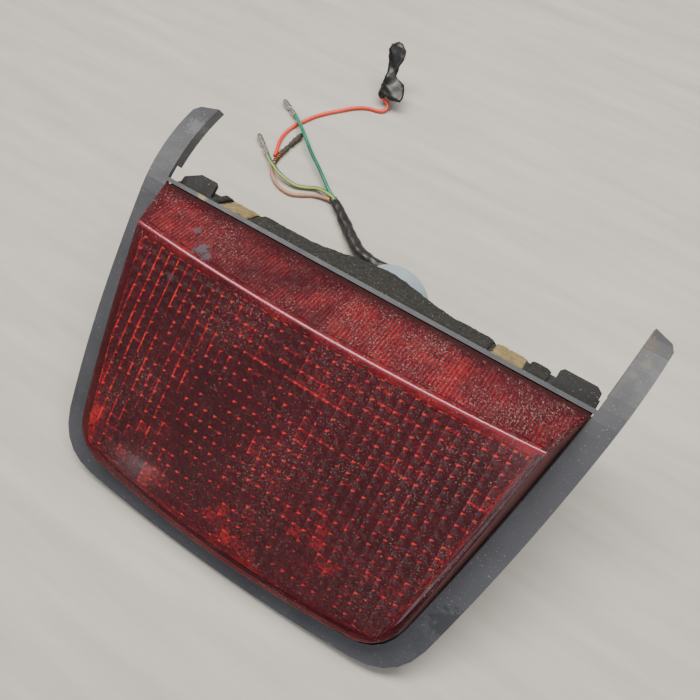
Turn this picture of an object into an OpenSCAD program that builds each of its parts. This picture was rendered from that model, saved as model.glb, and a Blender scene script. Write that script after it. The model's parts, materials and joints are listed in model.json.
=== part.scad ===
// Rear lamp of a light motorcycle: tail and stop light in one, lying face up on its bezel and bulb cap.
// Lamp frame: origin at the middle of the lens's top edge, X along that edge, Y up the lamp, Z out of it.
// place() lays the lamp on the ground; cords are given where they lie, in the laid-down frame.

/* [Lens] */
// Width of the lens along its top edge
lens_top_w = 240; // [200:1:290]
// Width of the lens at its foot, measured to the corner before rounding
lens_foot_w = 186; // [155:1:200]
// Height of the lens from its top edge to its bottom corners
lens_side_h = 144; // [120:1:175]
// How far the sides bulge past a straight line
lens_side_bulge = 1.5; // [0:0.1:4]
// How far the bottom edge bows down in the middle
lens_bottom_bow = 5; // [0:0.5:12]
// Radius of the bottom corners
lens_corner_r = 18; // [10:1:28]
// Wall of the lens
lens_wall = 2.4; // [1.6:0.1:3.2]
// Height of the crease above the bezel, at the middle
crease_h = 23; // [16:0.5:30]
// Distance of the crease from the top edge, at the middle
crease_y = 27.8; // [22:0.2:36]
// How far the ends of the crease come up towards the top edge
crease_bow = 3.8; // [0:0.2:6]
// How far the crease drops towards its ends
crease_crown = 3; // [0:0.5:5]
// Height of the lens face at its bottom edge
foot_edge_h = 4; // [2:0.5:8]
// Inward draft of the side walls, per mm of height
wall_draft = 0.27; // [0.1:0.01:0.4]

/* [Bezel] */
// Width of the bezel below the lens
bezel_band = 8.2; // [6:0.2:14]
// Width of the bezel beside the lens, at the bottom corners
bezel_side = 11; // [11:0.2:14]
// How far the outer edge of the bezel bulges past a straight line
bezel_bulge = 4; // [2:0.2:6]
// Thickness of the bezel
bezel_t = 2.6; // [2:0.1:4]
// Depth of the lip turned back along the outer edge
lip_depth = 7; // [4:0.5:10]
// Thickness of that lip
lip_t = 2; // [1.4:0.1:3]
// Length of the ears above the top edge
ear_len = 49; // [30:1:65]
// How far the outer corner of the ear tip sits below the inner one
ear_tip_drop = 5; // [0:0.5:10]
// Width of the ears near the tip
ear_w = 11.3; // [8:0.1:16]
// How far the ears lean outward over their length
ear_lean = 5.5; // [0:0.5:9]
// Height of the rail above the lens's top edge
rail_h = 2.2; // [1.5:0.1:4]
// Gap between the lens and the bezel
lens_gap = 0.5; // [0.3:0.1:1]

/* [Housing] */
// Depth of the housing behind the bezel
housing_depth = 44; // [36:1:54]
// Distance below the top edge at which the back wall starts to come forward
heel_y = 76; // [66:1:84]
// Depth of the housing at its bottom
heel_depth = 15; // [12:0.5:16]
// Wall of the housing
housing_wall = 2.4; // [1.8:0.1:3.5]
// Rise of the housing's top wall above the lens's top edge
top_rise = 7.6; // [5:0.2:10]
// Extra rise of the hump over the bulb port
hump_rise = 5.6; // [2:0.2:8]
// Half width of that hump
hump_half_w = 46; // [38:1:60]
// Thickness of the foam tape
foam_t = 1.6; // [1:0.1:3]
// Height of the corner tabs above the top edge
tab_h = 12.4; // [9:0.2:16]

/* [Bulb port] */
// Angle between the bulb's axis and the lamp's depth
port_rake = 40; // [30:1:48]
// Height of the port's seat along Y
port_y = -7; // [-10:0.5:-3]
// Depth of the port's seat behind the bezel
port_z = -57; // [-62:0.5:-54]
// Outer radius of the port's boss
boss_r = 26; // [24.5:0.5:28]
// Radius of the port's bore
port_r = 19.3; // [17:0.1:19.6]
// Running clearance of the holder in the port
holder_clear = 0.08; // [0.02:0.01:0.1]
// Radius of the rubber cap
cap_r = 22.5; // [21:0.5:24]
// Radius of the cap's rounded end
cap_round = 13; // [8:0.5:14]
// Height of the cap behind the port's seat
cap_h = 28; // [24:0.5:34]

/* [Bulb] */
// Diameter of the bulb's brass base
base_d = 15; // [14.8:0.1:15.2]
// Running clearance of the base in its socket
base_clear = 0.1; // [0.05:0.01:0.1]
// Radius of the glass
glass_r = 12.75; // [11:0.25:13.5]
// Travel of the bulb when it is pushed in
push_travel = 2; // [1:0.5:2.5]

/* [Mounting] */
// Distance between the two studs
stud_pitch = 156; // [110:1:160]
// Distance of the studs below the top edge
stud_y = 50; // [35:1:70]
// Thread diameter of the studs
stud_d = 6; // [5:1:8]
// Length of thread standing out past the grommets
stud_len = 12; // [8:1:13]

/* [Leads] */
// Diameter of the sleeved lead
sleeve_d = 6.6; // [5:0.2:8]
// Diameter of each wire
wire_d = 2.5; // [1.6:0.1:2.6]
// Diameter of the bullet terminals
bullet_d = 4; // [3.5:0.1:4.2]

/* [Hidden] */

HAIR = 0.1;        // clearance between pieces that only lie close together
SMOOTH = 64;       // facets of a true circle
FLUSH = 0.6;       // overshoot of a cut past the face it opens

top_half = lens_top_w / 2;
foot_half = lens_foot_w / 2;
face_cols = 20;                    // columns of facets across the lens
side_steps = 10;                   // points along each side of an outline
corner_steps = 5;                  // points round each bottom corner
edge_steps = 12;                   // points along the top and the bottom of an outline
lens_seat_z = -3.2;                // depth of the lens's foot below the bezel's face

// Where the ground touches: the bezel's bottom lip and the cap's rounded end
bottom_y = lens_side_h + lens_bottom_bow + bezel_band;
lip_low_z = bezel_z(-bottom_y) - lip_depth / 2;
axis_y = sin(port_rake);
axis_z = -cos(port_rake);
round_y = port_y + (cap_h - cap_round) * axis_y - (cap_r - cap_round) * cos(port_rake);
round_z = port_z + (cap_h - cap_round) * axis_z - (cap_r - cap_round) * sin(port_rake);
contact_gap = norm([round_y + bottom_y, round_z - lip_low_z]);
rest_tilt = atan2(lip_low_z - round_z, round_y + bottom_y) + asin(cap_round / contact_gap);
lift = bottom_y * sin(rest_tilt) - lip_low_z * cos(rest_tilt);
front_reach = -bottom_y * cos(rest_tilt) - bezel_z(-bottom_y) * sin(rest_tilt);
back_reach = ear_len * cos(rest_tilt) - (bezel_z(ear_len) - bezel_t) * sin(rest_tilt);
shift_back = -(front_reach + back_reach) / 2;

ear_root_x = top_half + 1.2;       // inner edge of the ear at its root
ear_in_x = ear_root_x + ear_lean;  // inner edge at its tip
ear_out_x = ear_in_x + ear_w;      // outer edge at its tip
ear_low = ear_len - ear_tip_drop;  // height of the outer corner of the tip
bezel_corner = 14;                 // height at which the bezel's bottom corners start to turn
bezel_turn = 22;                   // reach of that turn along the bottom

screw_r = 1.6;                     // thread radius of the case screws
screw_in = 6.3;                    // distance of the case screws from the lens
lug_z = -9.4;                      // face of the housing's lugs, under the bezel's posts
lug_t = 2.6;                       // thickness of those lugs
screw_spots = [for (s = [-1, 1]) for (y = [-0.24, -0.78] * lens_side_h) [s * (half_w(y) + screw_in), y]];

grommet_r = 8;                     // outer radius of the stud grommets
grommet_h = 6;                     // height of the grommets
pocket = 3;                        // depth of their pockets
boss_len = 26;                     // length of the port's boss
tooth_r = port_r + 2.7;            // outer radius of the holder's bayonet teeth
tooth_w = 9;                       // width of the teeth
tooth_z = 12;                      // near end of the groove that the teeth turn in
groove = 4;                        // width of that groove
lock_angle = 30;                   // turn from locked to free
seal_t = 2;                        // thickness of the port seal
flange_t = 3;                      // thickness of the holder's flange
cap_wall = 2;                      // wall of the rubber cap
nozzle_h = 3;                      // height of the nozzle on the cap

base_r = base_d / 2;
shell_in = base_r + base_clear;    // bore of the socket shell
shell_out = shell_in + 1;
base_z = 1;                        // near end of the bulb's base
base_h = 17;                       // length of the base
pin_heights = [6.4, 9.4];          // heights of the two bayonet pins
pin_r = 1;
glass_z = 33;                      // height of the middle of the glass
slot_angle = 26;                   // turn from the way in to the pin's place
slot_half = 3.1;                   // half width of the window
plate_z = -3;                      // underside of the contact plate
spring_z = -10.9;                  // seat of the contact springs
rivet_x = 3;                       // distance of the contacts from the axis

// Routes of the leads, where they lie on the ground; the sleeve's first two points lie on the port's axis
function port_pt(z) = [0,
    shift_back + port_y * cos(rest_tilt) - port_z * sin(rest_tilt) - z * sin(port_rake + rest_tilt),
    lift + port_y * sin(rest_tilt) + port_z * cos(rest_tilt) + z * cos(port_rake + rest_tilt)];
sleeve_way = [
    port_pt(1 - cap_h), port_pt(-cap_h - nozzle_h), [-1.5, 94, 13.8], [-6, 98.5, 11.6], [-13, 101, 9.8],
    [-22, 101.5, 8.2], [-32, 103, 6.6], [-42, 106.5, 5.2], [-52, 113, 4.2], [-62, 121, 3.6],
    [-71, 127.8, 3.4], [-79, 133, 3.4]
];
green_way = [
    [-76, 132.5, 2.7], [-78.5, 134, 2.7], [-85.5, 137.5, 3.6], [-91, 141.5, 4.3], [-96.5, 145.5, 4.9],
    [-102, 149.5, 5.3], [-108, 153.5, 5.6], [-113.5, 157.5, 5.8], [-119, 162, 6], [-124, 166, 6.2],
    [-129.5, 170.5, 6.2], [-135, 175, 5.4], [-140, 179, 4], [-145, 182.5, 2.8]
];
green_yellow_way = [
    [-76.5, 131.5, 5.2], [-79, 133, 5.2], [-86.2, 134.4, 4.4], [-93.5, 135, 2.6], [-100.5, 132, 1.8],
    [-107, 129.5, 2.4], [-114, 129.5, 3.7], [-121, 131, 4.6], [-127.5, 134, 4.8], [-133.5, 137.5, 3.8],
    [-139.5, 142, 2.4]
];
brown_way = [
    [-77.2, 130.1, 2.7], [-79.8, 131.5, 2.7], [-87, 131, 1.9], [-93.5, 129, 1.3], [-99, 125.5, 1.3],
    [-105.5, 122.5, 1.3], [-112.5, 122.5, 1.3], [-119, 124.5, 1.3], [-125, 128.5, 1.3], [-129.5, 134, 1.3],
    [-131.5, 140.5, 1.5], [-131.5, 147.5, 2]
];
red_way = [
    [-134.5, 144, 1.3], [-136.5, 149.5, 1.3], [-139, 155.5, 1.3], [-140.5, 162, 1.3], [-140.5, 168.5, 1.3],
    [-139, 175.5, 1.3], [-136, 182, 1.3], [-133, 188.5, 1.3], [-129, 194.5, 1.3], [-124.5, 200, 1.3],
    [-120, 205, 1.3], [-115, 210.5, 1.3], [-110, 214.6, 1.3], [-104, 217.6, 1.3], [-98.2, 218.8, 1.3],
    [-94.2, 221, 1.6], [-93.8, 225.4, 2.6], [-97.6, 228, 4.2], [-101.8, 227.4, 6]
];
bullet_ends = [
    [[-143.5, 181.5, 3], [-159.5, 190, 2.3]],
    [[-138.5, 141.2, 2.7], [-155, 153.5, 2.3]],
    [[-131.5, 146, 2.2], [-129.5, 170.5, 2.2]]
];

module place() { translate([0, shift_back, lift]) rotate([rest_tilt, 0, 0]) children(); }

// Frame of the bulb port: +Z runs along the bulb towards the lens, 0 is the housing's rear seat
module on_port() { place() translate([0, port_y, port_z]) rotate([port_rake, 0, 0]) children(); }

// ---- outlines in the lamp's XY plane ----
// Half width of the lens's foot at height y, grown by g
function half_w(y, g = 0) =
    let (s = -y / lens_side_h)
    top_half + (foot_half - top_half) * s + lens_side_bulge * 4 * s * (1 - s) + g;

// Face of the bezel: flat beside the lens, falling back towards the bottom and along the ears
function bezel_z(y) = y < -60 ? -pow(y + 60, 2) / 1700 : y > -10 ? -pow(y + 10, 2) / 160 : 0;

// A point of a curve with one control point
function bend(a, c, b, s) = a * pow(1 - s, 2) + c * 2 * s * (1 - s) + b * s * s;

// Bottom right corner of the foot outline: where its rounding starts, turns and ends
function corner_side(g) = [half_w(-lens_side_h + lens_corner_r, g), -lens_side_h + lens_corner_r];
function corner_turn(g) = [half_w(-lens_side_h, g), -lens_side_h - g];
function bottom_at(x, g) = -lens_side_h - g - lens_bottom_bow * (1 - pow(x / foot_half, 2));
function corner_foot(g) =
    let (x = half_w(-lens_side_h, g) - lens_corner_r) [x, bottom_at(x, g)];

// Right half of the outline, from the top edge at height top round to the middle of the bottom
function half_outline(g, top) = concat(
    [for (i = [0 : side_steps])
        let (y = top + (-lens_side_h + lens_corner_r - top) * i / side_steps) [half_w(y, g), y]],
    [for (i = [1 : corner_steps])
        bend(corner_side(g), corner_turn(g), corner_foot(g), i / corner_steps)],
    [for (i = [1 : edge_steps / 2])
        let (x = corner_foot(g)[0] * (1 - 2 * i / edge_steps)) [x, bottom_at(x, g)]]
);

// Closed outline: the top edge from left to right, then the right half, then its mirror image
function hump(x) = abs(x) < hump_half_w ? (1 + cos(180 * x / hump_half_w)) / 2 : 0;
function outline(g, top = 0, rise = 0) =
    let (half = half_outline(g, top), n = len(half))
    concat(
        [for (i = [0 : 2 * edge_steps - 1])
            let (x = half_w(top, g) * (i / edge_steps - 1)) [x, top + rise * hump(x)]],
        half,
        [for (i = [n - 2 : -1 : 1]) [-half[i][0], half[i][1]]]
    );
function at_z(points, z) = [for (p = points) [p[0], p[1], z]];

// ---- skins ----
function quad(a, b, c, d) = [[a, b, c], [a, c, d]];
function flat(lists) = [for (l = lists) for (e = l) e];

// A solid wrapped round a row of rings with the same number of points, closed at both ends
module skin(rings) {
    n = len(rings[0]);
    m = len(rings);
    sides = flat([for (k = [0 : m - 2]) for (i = [0 : n - 1])
        let (j = (i + 1) % n) quad(k * n + i, (k + 1) * n + i, (k + 1) * n + j, k * n + j)]);
    ends = [[for (i = [0 : n - 1]) i], [for (i = [n - 1 : -1 : 0]) (m - 1) * n + i]];
    polyhedron(points = flat(rings), faces = concat(sides, ends), convexity = 6);
}

// A tube swept along a route; every ring faces the way the route runs there
function run_at(p, i) = let (a = p[max(i - 1, 0)], b = p[min(i + 1, len(p) - 1)]) (b - a) / norm(b - a);
function ring_at(c, run, r, sides) =
    let (across = cross([0, 0, 1], run) / norm(cross([0, 0, 1], run)), up = cross(run, across))
    [for (k = [0 : sides - 1]) let (q = 360 * (k + 0.5) / sides) c + across * r * cos(q) + up * r * sin(q)];
module tube(route, d, sides = 8) {
    skin([for (i = [0 : len(route) - 1]) ring_at(route[i], run_at(route, i), d / 2, sides)]);
}

// Stands a shape that runs along Z between two points
module between(a, b) {
    v = b - a;
    translate(a) rotate([0, acos(v[2] / norm(v)), atan2(v[1], v[0])]) children();
}

module ring(r_out, r_in, h) {
    difference() {
        cylinder(h = h, r = r_out, $fn = SMOOTH);
        translate([0, 0, -FLUSH]) cylinder(h = h + 2 * FLUSH, r = r_in, $fn = SMOOTH);
    }
}

// ---- lens ----
// Rows of the face run from the top edge over the crease to the bottom edge
face_rows = 6;
corner_rows = 5;
last_row = 1 + face_rows + corner_rows;

// Height of row j at the middle of the lens, and how far its ends rise
function face_share(j) = (j - 1) / face_rows * (1 - lens_corner_r / (lens_side_h - crease_y));
function row_y(j, g) = j == 0 ? g
    : j <= 1 + face_rows ? -crease_y - (lens_side_h + lens_bottom_bow - crease_y) * face_share(j)
    : let (q = 90 * (j - 1 - face_rows) / corner_rows, y0 = row_y(1 + face_rows, g),
           y1 = -lens_side_h - lens_bottom_bow - g) y0 + (y1 - y0) * sin(q);
function row_bow(j) = j == 0 ? 0 : crease_bow + (lens_bottom_bow - crease_bow) * (j - 1) / (last_row - 1);
function row_half(j, g) =
    let (y = row_y(j, g) + row_bow(j))
    j <= 1 + face_rows ? half_w(y, g)
    : let (q = 90 * (j - 1 - face_rows) / corner_rows) half_w(y, g) - lens_corner_r * (1 - cos(q));

// Height of the face over the bezel at row j and share u across it
function face_fall(j) = (row_y(1, 0) - row_y(j, 0)) / (row_y(1, 0) - row_y(last_row, 0));
function face_h(j, u) =
    let (crest = crease_h - crease_crown * u * u, s = face_fall(j))
    j == 0 ? 1 : crest + (foot_edge_h - crest) * s + 1.6 * 4 * s * (1 - s);
function face_pt(j, i, sink) =
    let (u = 2 * i / face_cols - 1, h = face_h(j, u), g = -wall_draft * h - sink)
    [row_half(j, g) * u, row_y(j, g) + row_bow(j) * u * u, h - sink];
function foot_pt(j, i, sink) =
    let (u = 2 * i / face_cols - 1)
    [row_half(j, -sink) * u, row_y(j, -sink) + row_bow(j) * u * u, lens_seat_z];
function cell(j, i) = j * (face_cols + 1) + i;
rim = concat(
    [for (i = [0 : face_cols]) [0, i]], [for (j = [1 : last_row]) [j, face_cols]],
    [for (i = [face_cols - 1 : -1 : 0]) [last_row, i]], [for (j = [last_row - 1 : -1 : 1]) [j, 0]]
);

module lens() {
    n = (last_row + 1) * (face_cols + 1);
    k = len(rim);
    grid = [for (j = [0 : last_row]) for (i = [0 : face_cols]) [j, i]];
    points = concat(
        [for (c = grid) face_pt(c[0], c[1], 0)], [for (c = rim) foot_pt(c[0], c[1], 0)],
        [for (c = rim) foot_pt(c[0], c[1], lens_wall)], [for (c = grid) face_pt(c[0], c[1], lens_wall)]
    );
    inner = n + 2 * k;
    cells = [for (j = [0 : last_row - 1]) for (i = [0 : face_cols - 1]) [j, i]];
    outside = flat([for (c = cells) let (a = cell(c[0], c[1]), b = cell(c[0] + 1, c[1]))
        quad(a, a + 1, b + 1, b)]);
    inside = flat([for (c = cells) let (a = inner + cell(c[0], c[1]), b = inner + cell(c[0] + 1, c[1]))
        quad(a, b, b + 1, a + 1)]);
    wall = flat([for (i = [0 : k - 1])
        let (j = (i + 1) % k, a = cell(rim[i][0], rim[i][1]), b = cell(rim[j][0], rim[j][1]))
        concat(quad(b, a, n + i, n + j), quad(n + j, n + i, n + k + i, n + k + j),
            quad(n + k + j, n + k + i, inner + a, inner + b))]);
    color("darkred") place() polyhedron(concat(points), concat(outside, wall, inside), convexity = 6);
}

module lens_sealant() {
    color("black") place() translate([0, 0, lens_seat_z - 1.4])
    difference() {
        linear_extrude(1.4 - HAIR) polygon(outline(-0.2, -0.2));
        translate([0, 0, -FLUSH]) linear_extrude(1.4 + 2 * FLUSH) polygon(outline(-lens_wall, -lens_wall));
    }
}

// ---- housing ----
shelf_z = lens_seat_z - 1.4 - HAIR;     // front face of the housing's rim, under the sealant
back_z = -housing_depth;
slope_z = -30;                          // depth at which the top wall stops rising
rim_clear = 0.3;                        // clearance of the housing's rim inside the bezel
function reversed(l) = [for (i = [len(l) - 1 : -1 : 0]) l[i]];
module deep(points) { linear_extrude(160, center = true) polygon(points); }
// Extrudes a side view, drawn as [y, z], across the lamp
module across(points) { rotate([90, 0, 90]) linear_extrude(2 * lens_top_w, center = true) polygon(points); }

// Height of the top wall at depth z before the hump and the flat top cut it off
function wall_slope(z) = 1.6 + (top_rise + hump_rise - 1.6) * pow((shelf_z - z) / (shelf_z - slope_z), 1.25);
function top_wall(x, z) = min(top_rise + hump_rise * hump(x), wall_slope(z));

// Side view of the shell, every wall moved in by sink, its front at front_z
function shell_side(sink, front_z) = concat(
    [for (z = [front_z, -9, -14, -19, -24.5, slope_z]) [wall_slope(min(z, shelf_z)) - sink, z]],
    [[top_rise + hump_rise - sink, back_z + 5], [top_rise + hump_rise - 5 - sink, back_z + sink],
     [-heel_y, back_z + sink], [-lens_side_h + 6 + sink, -heel_depth + sink * 1.4],
     [-bottom_y + sink, -heel_depth + 4], [-bottom_y + sink, front_z]]
);
module shell_form(sink, front_z) {
    intersection() {
        deep(outline(lens_gap - rim_clear - sink, top_rise - sink, hump_rise));
        across(shell_side(sink, front_z));
    }
}

module tab_shape(chamfer) {
    polygon([[0, -2], [21, -2], [21 - chamfer * 0.16, tab_h - chamfer * 0.4 - 1.4],
        [19.4 - chamfer, tab_h], [1.6, tab_h], [0, tab_h - 1.6]]);
}

module screw_posts(r, z0, z1) {
    for (p = screw_spots) translate([p[0], p[1], z0]) cylinder(h = z1 - z0, r = r, $fn = 32);
}

module stud_spots(z) {
    for (s = [-1, 1]) translate([s * stud_pitch / 2, -stud_y, z]) children();
}
module in_port() { translate([0, port_y, port_z]) rotate([port_rake, 0, 0]) children(); }

// Space that the holder and its teeth need in the port
module port_cut() {
    translate([0, 0, -FLUSH]) cylinder(h = boss_len + 30, r = port_r, $fn = SMOOTH);
    translate([0, 0, tooth_z]) cylinder(h = groove, r = tooth_r + 0.3, $fn = SMOOTH);
    for (q = [0 : 120 : 240]) rotate([0, 0, q]) translate([port_r - 3, -tooth_w / 2 - 0.5, -FLUSH])
        cube([tooth_r + 0.3 - port_r + 3, tooth_w + 1, tooth_z + 1 + FLUSH]);
}

module housing() {
    color([0.08, 0.08, 0.085]) place() difference() {
        union() {
            difference() {
                shell_form(0, shelf_z);
                shell_form(housing_wall, shelf_z + FLUSH);
            }
            for (s = [-1, 1]) translate([s * (top_half - 21), 0, -12.6])
                mirror([s > 0 ? 0 : 1, 0, 0]) linear_extrude(2.6) tab_shape(s > 0 ? 1.6 : 9);
            in_port() cylinder(h = boss_len, r = boss_r, $fn = SMOOTH);
            stud_spots(back_z - pocket) cylinder(h = pocket + 6, r = grommet_r + 3, $fn = SMOOTH);
            for (p = screw_spots) translate([p[0], p[1], lug_z - lug_t]) {
                cylinder(h = lug_t, r = 4, $fn = 32);
                translate([p[0] > 0 ? -screw_in : 0, -4, 0]) cube([screw_in, 8, lug_t]);
            }
        }
        in_port() port_cut();
        stud_spots(back_z - pocket - FLUSH) cylinder(h = pocket + FLUSH, r = grommet_r + HAIR, $fn = SMOOTH);
        stud_spots(back_z - pocket - FLUSH) cylinder(h = pocket + 8, r = stud_d / 2 + HAIR, $fn = SMOOTH);
        screw_posts(screw_r + 0.3, lug_z - lug_t - FLUSH, lug_z + FLUSH);
    }
}

// Side view of the reflector's trough, moved in by sink
function trough(sink, front_z) =
    let (top = -4 - sink, low = -lens_side_h - 1 + sink, mid = (top + low) / 2, half = (top - low) / 2)
    concat([[top, front_z]],
        [for (i = [0 : 16]) let (s = 1 - i / 8)
            [mid + half * s, shelf_z - 2.5 - (5 + 8 * (1 + s) - sink) * (1 - s * s * s * s)]],
        [[low, front_z]]);
module reflector() {
    gap = housing_wall + 1.2;
    wall = 1.4;
    color([0.86, 0.87, 0.88]) place() difference() {
        intersection() {
            deep(outline(-gap, -gap));
            across(trough(0, shelf_z - 1));
        }
        intersection() {
            deep(outline(-gap - wall, -gap - wall));
            across(trough(wall, shelf_z));
        }
        in_port() cylinder(h = 70, r = boss_r + 0.6, $fn = SMOOTH);
    }
}

// ---- foam and glue along the top ----
strip_gap = 0.3;                        // clearance of the strips from the wall
// A strip of thickness t that follows the wall from x0 to x1 and from z0 back to z1
module wall_strip(x0, x1, z0, z1, t) {
    intersection() {
        difference() {
            shell_form(-strip_gap - t, z0);
            shell_form(-strip_gap, z0 + FLUSH);
        }
        translate([x0, 1, z1]) cube([x1 - x0, 40, z0 - z1]);
    }
}

module foam_strip() {
    color([0.22, 0.21, 0.19]) place() {
        wall_strip(-72, 66, -5.4, slope_z - 6, foam_t);
        wall_strip(86, 96, -5.4, slope_z + 4, foam_t);
        wall_strip(-98, -93, -5.4, slope_z + 4, foam_t);
    }
}

module adhesive_pads() {
    color([0.62, 0.52, 0.34]) place() {
        wall_strip(-91, -74, -7, slope_z + 2, 0.8);
        wall_strip(68, 84, -7, slope_z + 2, 0.8);
    }
}

// ---- bezel ----
// Half width of the bezel's outer edge at height y, from the bottom corner to the tip of the ear
function outer_half(y) =
    let (lo = foot_half + bezel_side, foot = lens_side_h + bezel_band, s = (y + foot) / (foot + ear_low))
    lo + (ear_out_x - lo) * s + bezel_bulge * 4 * s * (1 - s);

// Right half of the bezel's outline, every edge moved in by g; open puts the rail's edge out of the way
function half_bezel(g, rail_y) = concat(
    [[ear_root_x + g, rail_y], [ear_root_x + ear_lean * 0.4 + g, ear_len * 0.45]],
    [[ear_in_x + g, ear_len - g]],
    [[ear_out_x - 2.2 - g, ear_low + 1.6 - g], [outer_half(ear_low - 2) - g, ear_low - 2 - g]],
    [for (i = [1 : 2 * side_steps])
        let (y = ear_low - 2 + (bezel_corner - lens_side_h - ear_low + 2) * i / (2 * side_steps))
        [outer_half(y) - g, y]],
    [for (i = [1 : corner_steps])
        let (corner_x = outer_half(-lens_side_h - bezel_band))
        bend([outer_half(bezel_corner - lens_side_h) - g, bezel_corner - lens_side_h],
            [corner_x - g, bottom_at(corner_x, bezel_band - g)],
            [foot_turn_x, bottom_at(foot_turn_x, bezel_band - g)], i / corner_steps)],
    [for (i = [1 : edge_steps / 2])
        let (x = foot_turn_x * (1 - 2 * i / edge_steps)) [x, bottom_at(x, bezel_band - g)]]
);
foot_turn_x = foot_half + bezel_side - bezel_turn;
function bezel_outline(g, rail_y) =
    let (half = half_bezel(g, rail_y), n = len(half))
    concat(half, [for (i = [n - 2 : -1 : 0]) [-half[i][0], half[i][1]]]);

// Slab that follows the bezel's face, from near to far below it
module face_slab(near, far) {
    span = bottom_y + ear_len + 16;
    ys = [for (i = [0 : 34]) -bottom_y - 8 + span * i / 34];
    rotate([90, 0, 90]) linear_extrude(2 * lens_top_w, center = true) polygon(concat(
        [for (y = ys) [y, bezel_z(y) - near]], [for (y = reversed(ys)) [y, bezel_z(y) - far]]));
}

module bezel() {
    color([0.42, 0.43, 0.45]) place() difference() {
        union() {
            difference() {
                intersection() {
                    deep(bezel_outline(0, rail_h + lens_gap));
                    face_slab(0, lip_depth);
                }
                intersection() {
                    deep(bezel_outline(lip_t, rail_h + 8));
                    face_slab(bezel_t, 70);
                }
            }
            screw_posts(3.2, lug_z + HAIR, -bezel_t + HAIR);
        }
        deep(outline(lens_gap, lens_gap));
        screw_posts(screw_r + 0.05, lug_z - FLUSH, -bezel_t - 0.6);
        rotate([-rest_tilt, 0, 0]) translate([-lens_top_w, -2 * lens_side_h, -lift - 30])
            cube([2 * lens_top_w, 4 * lens_side_h, 30]);
    }
}

// ---- fasteners ----
module case_screws() {
    color("silver") place() for (p = screw_spots) translate([p[0], p[1], lug_z - lug_t - HAIR]) {
        cylinder(h = 8, r = screw_r, $fn = 32);
        translate([0, 0, -2]) difference() {
            cylinder(h = 2, r = 3, $fn = 32);
            for (q = [0, 90]) rotate([0, 0, q]) translate([-2, -0.3, -FLUSH]) cube([4, 0.6, 1 + FLUSH]);
        }
    }
}
module mount_studs() {
    shank = stud_d / 2 - 0.2;
    tip = back_z - grommet_h - stud_len;
    color("silver") place() {
        stud_spots(tip) cylinder(h = stud_len - 0.4, r = stud_d / 2, $fn = SMOOTH);
        stud_spots(back_z - grommet_h - 0.4) cylinder(h = grommet_h + 6.8, r = shank, $fn = SMOOTH);
        stud_spots(back_z + 6 + HAIR) cylinder(h = 3, r = stud_d * 0.95, $fn = 6);
    }
}
module stud_grommets() {
    color([0.1, 0.1, 0.1]) place() stud_spots(back_z - grommet_h)
        ring(grommet_r, stud_d / 2 + HAIR, grommet_h - HAIR);
}

// ---- bulb holder ----
module port_seal() {
    color([0.12, 0.12, 0.12]) on_port() translate([0, 0, HAIR - seal_t])
        ring(boss_r - 1.6, port_r + 0.5, seal_t - 2 * HAIR);
}
module holder_barrel() {
    r = port_r - holder_clear;
    top = tooth_z + groove + 2;
    color([0.3, 0.3, 0.3]) on_port() {
        rotate_extrude($fn = SMOOTH) polygon([
            [shell_out + HAIR, -seal_t - flange_t], [boss_r - 1.5, -seal_t - flange_t],
            [boss_r - 1.5, -seal_t],
            [r, -seal_t], [r, top], [r - 2.2, top], [r - 2.2, -seal_t], [shell_out + 2, -seal_t],
            [shell_out + 2, 5], [shell_out + HAIR, 5]]);
        for (q = [0 : 120 : 240]) rotate([0, 0, q - lock_angle]) intersection() {
            translate([0, 0, tooth_z + 0.3]) ring(tooth_r, r - 1, groove - 0.6);
            translate([0, -tooth_w / 2, 0]) cube([tooth_r + 1, tooth_w, tooth_z + groove]);
        }
    }
}
module holder_cap() {
    z = -seal_t - flange_t - HAIR;
    color([0.6, 0.66, 0.7]) on_port() rotate_extrude($fn = SMOOTH) polygon(concat(
        [[cap_r, z]],
        [for (q = [0 : 10 : 90])
            [cap_r - cap_round + cap_round * cos(q), -cap_h + cap_round - cap_round * sin(q)]],
        [[sleeve_d / 2 + 2.2, -cap_h], [sleeve_d / 2 + 1.8, -cap_h - nozzle_h],
         [sleeve_d / 2 + 0.3, -cap_h - nozzle_h], [sleeve_d / 2 + 0.3, -cap_h + cap_wall]],
        [for (q = [90 : -10 : 0])
            [cap_r - cap_round + (cap_round - cap_wall) * cos(q),
             -cap_h + cap_round - (cap_round - cap_wall) * sin(q)]],
        [[cap_r - cap_wall, z]]));
}
module socket_shell() {
    top = base_z + base_h - 1;
    color("lightgray") on_port() difference() {
        union() {
            translate([0, 0, spring_z - 1]) cylinder(h = top - spring_z + 1, r = shell_out, $fn = SMOOTH);
            translate([0, 0, 5 + HAIR]) cylinder(h = 1, r = shell_out + 1.8, $fn = SMOOTH);
        }
        translate([0, 0, spring_z]) cylinder(h = top - spring_z + FLUSH, r = shell_in, $fn = SMOOTH);
        translate([0, 0, spring_z - 2]) cylinder(h = 4, r = 5.6, $fn = SMOOTH);
        // J-slots: the way in, and the window that the pin turns and travels in
        for (k = [0, 1]) rotate([0, 0, 180 * k]) {
            low = pin_heights[k] - pin_r - push_travel - 0.4;
            high = pin_heights[k] + pin_r + 0.3;
            rotate([0, 0, slot_angle]) translate([shell_in - 1, -pin_r - 0.3, low])
                cube([4, 2 * pin_r + 0.6, top - low + FLUSH]);
            rotate([0, 0, slot_angle / 2]) translate([shell_in - 1.4, -slot_half, low - 0.01])
                cube([5, 2 * slot_half, high - low]);
        }
    }
}
module earth_tab() {
    color("silver") on_port() translate([0, 0, -seal_t - flange_t - 1.2]) difference() {
        union() {
            cylinder(h = 1, r = shell_out + 3, $fn = SMOOTH);
            translate([0, -3, 0]) cube([17, 6, 1]);
        }
        translate([0, 0, -FLUSH]) cylinder(h = 3, r = shell_out + HAIR, $fn = SMOOTH);
        translate([14, 0, -FLUSH]) cylinder(h = 3, r = 1, $fn = 24);
    }
}
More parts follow.
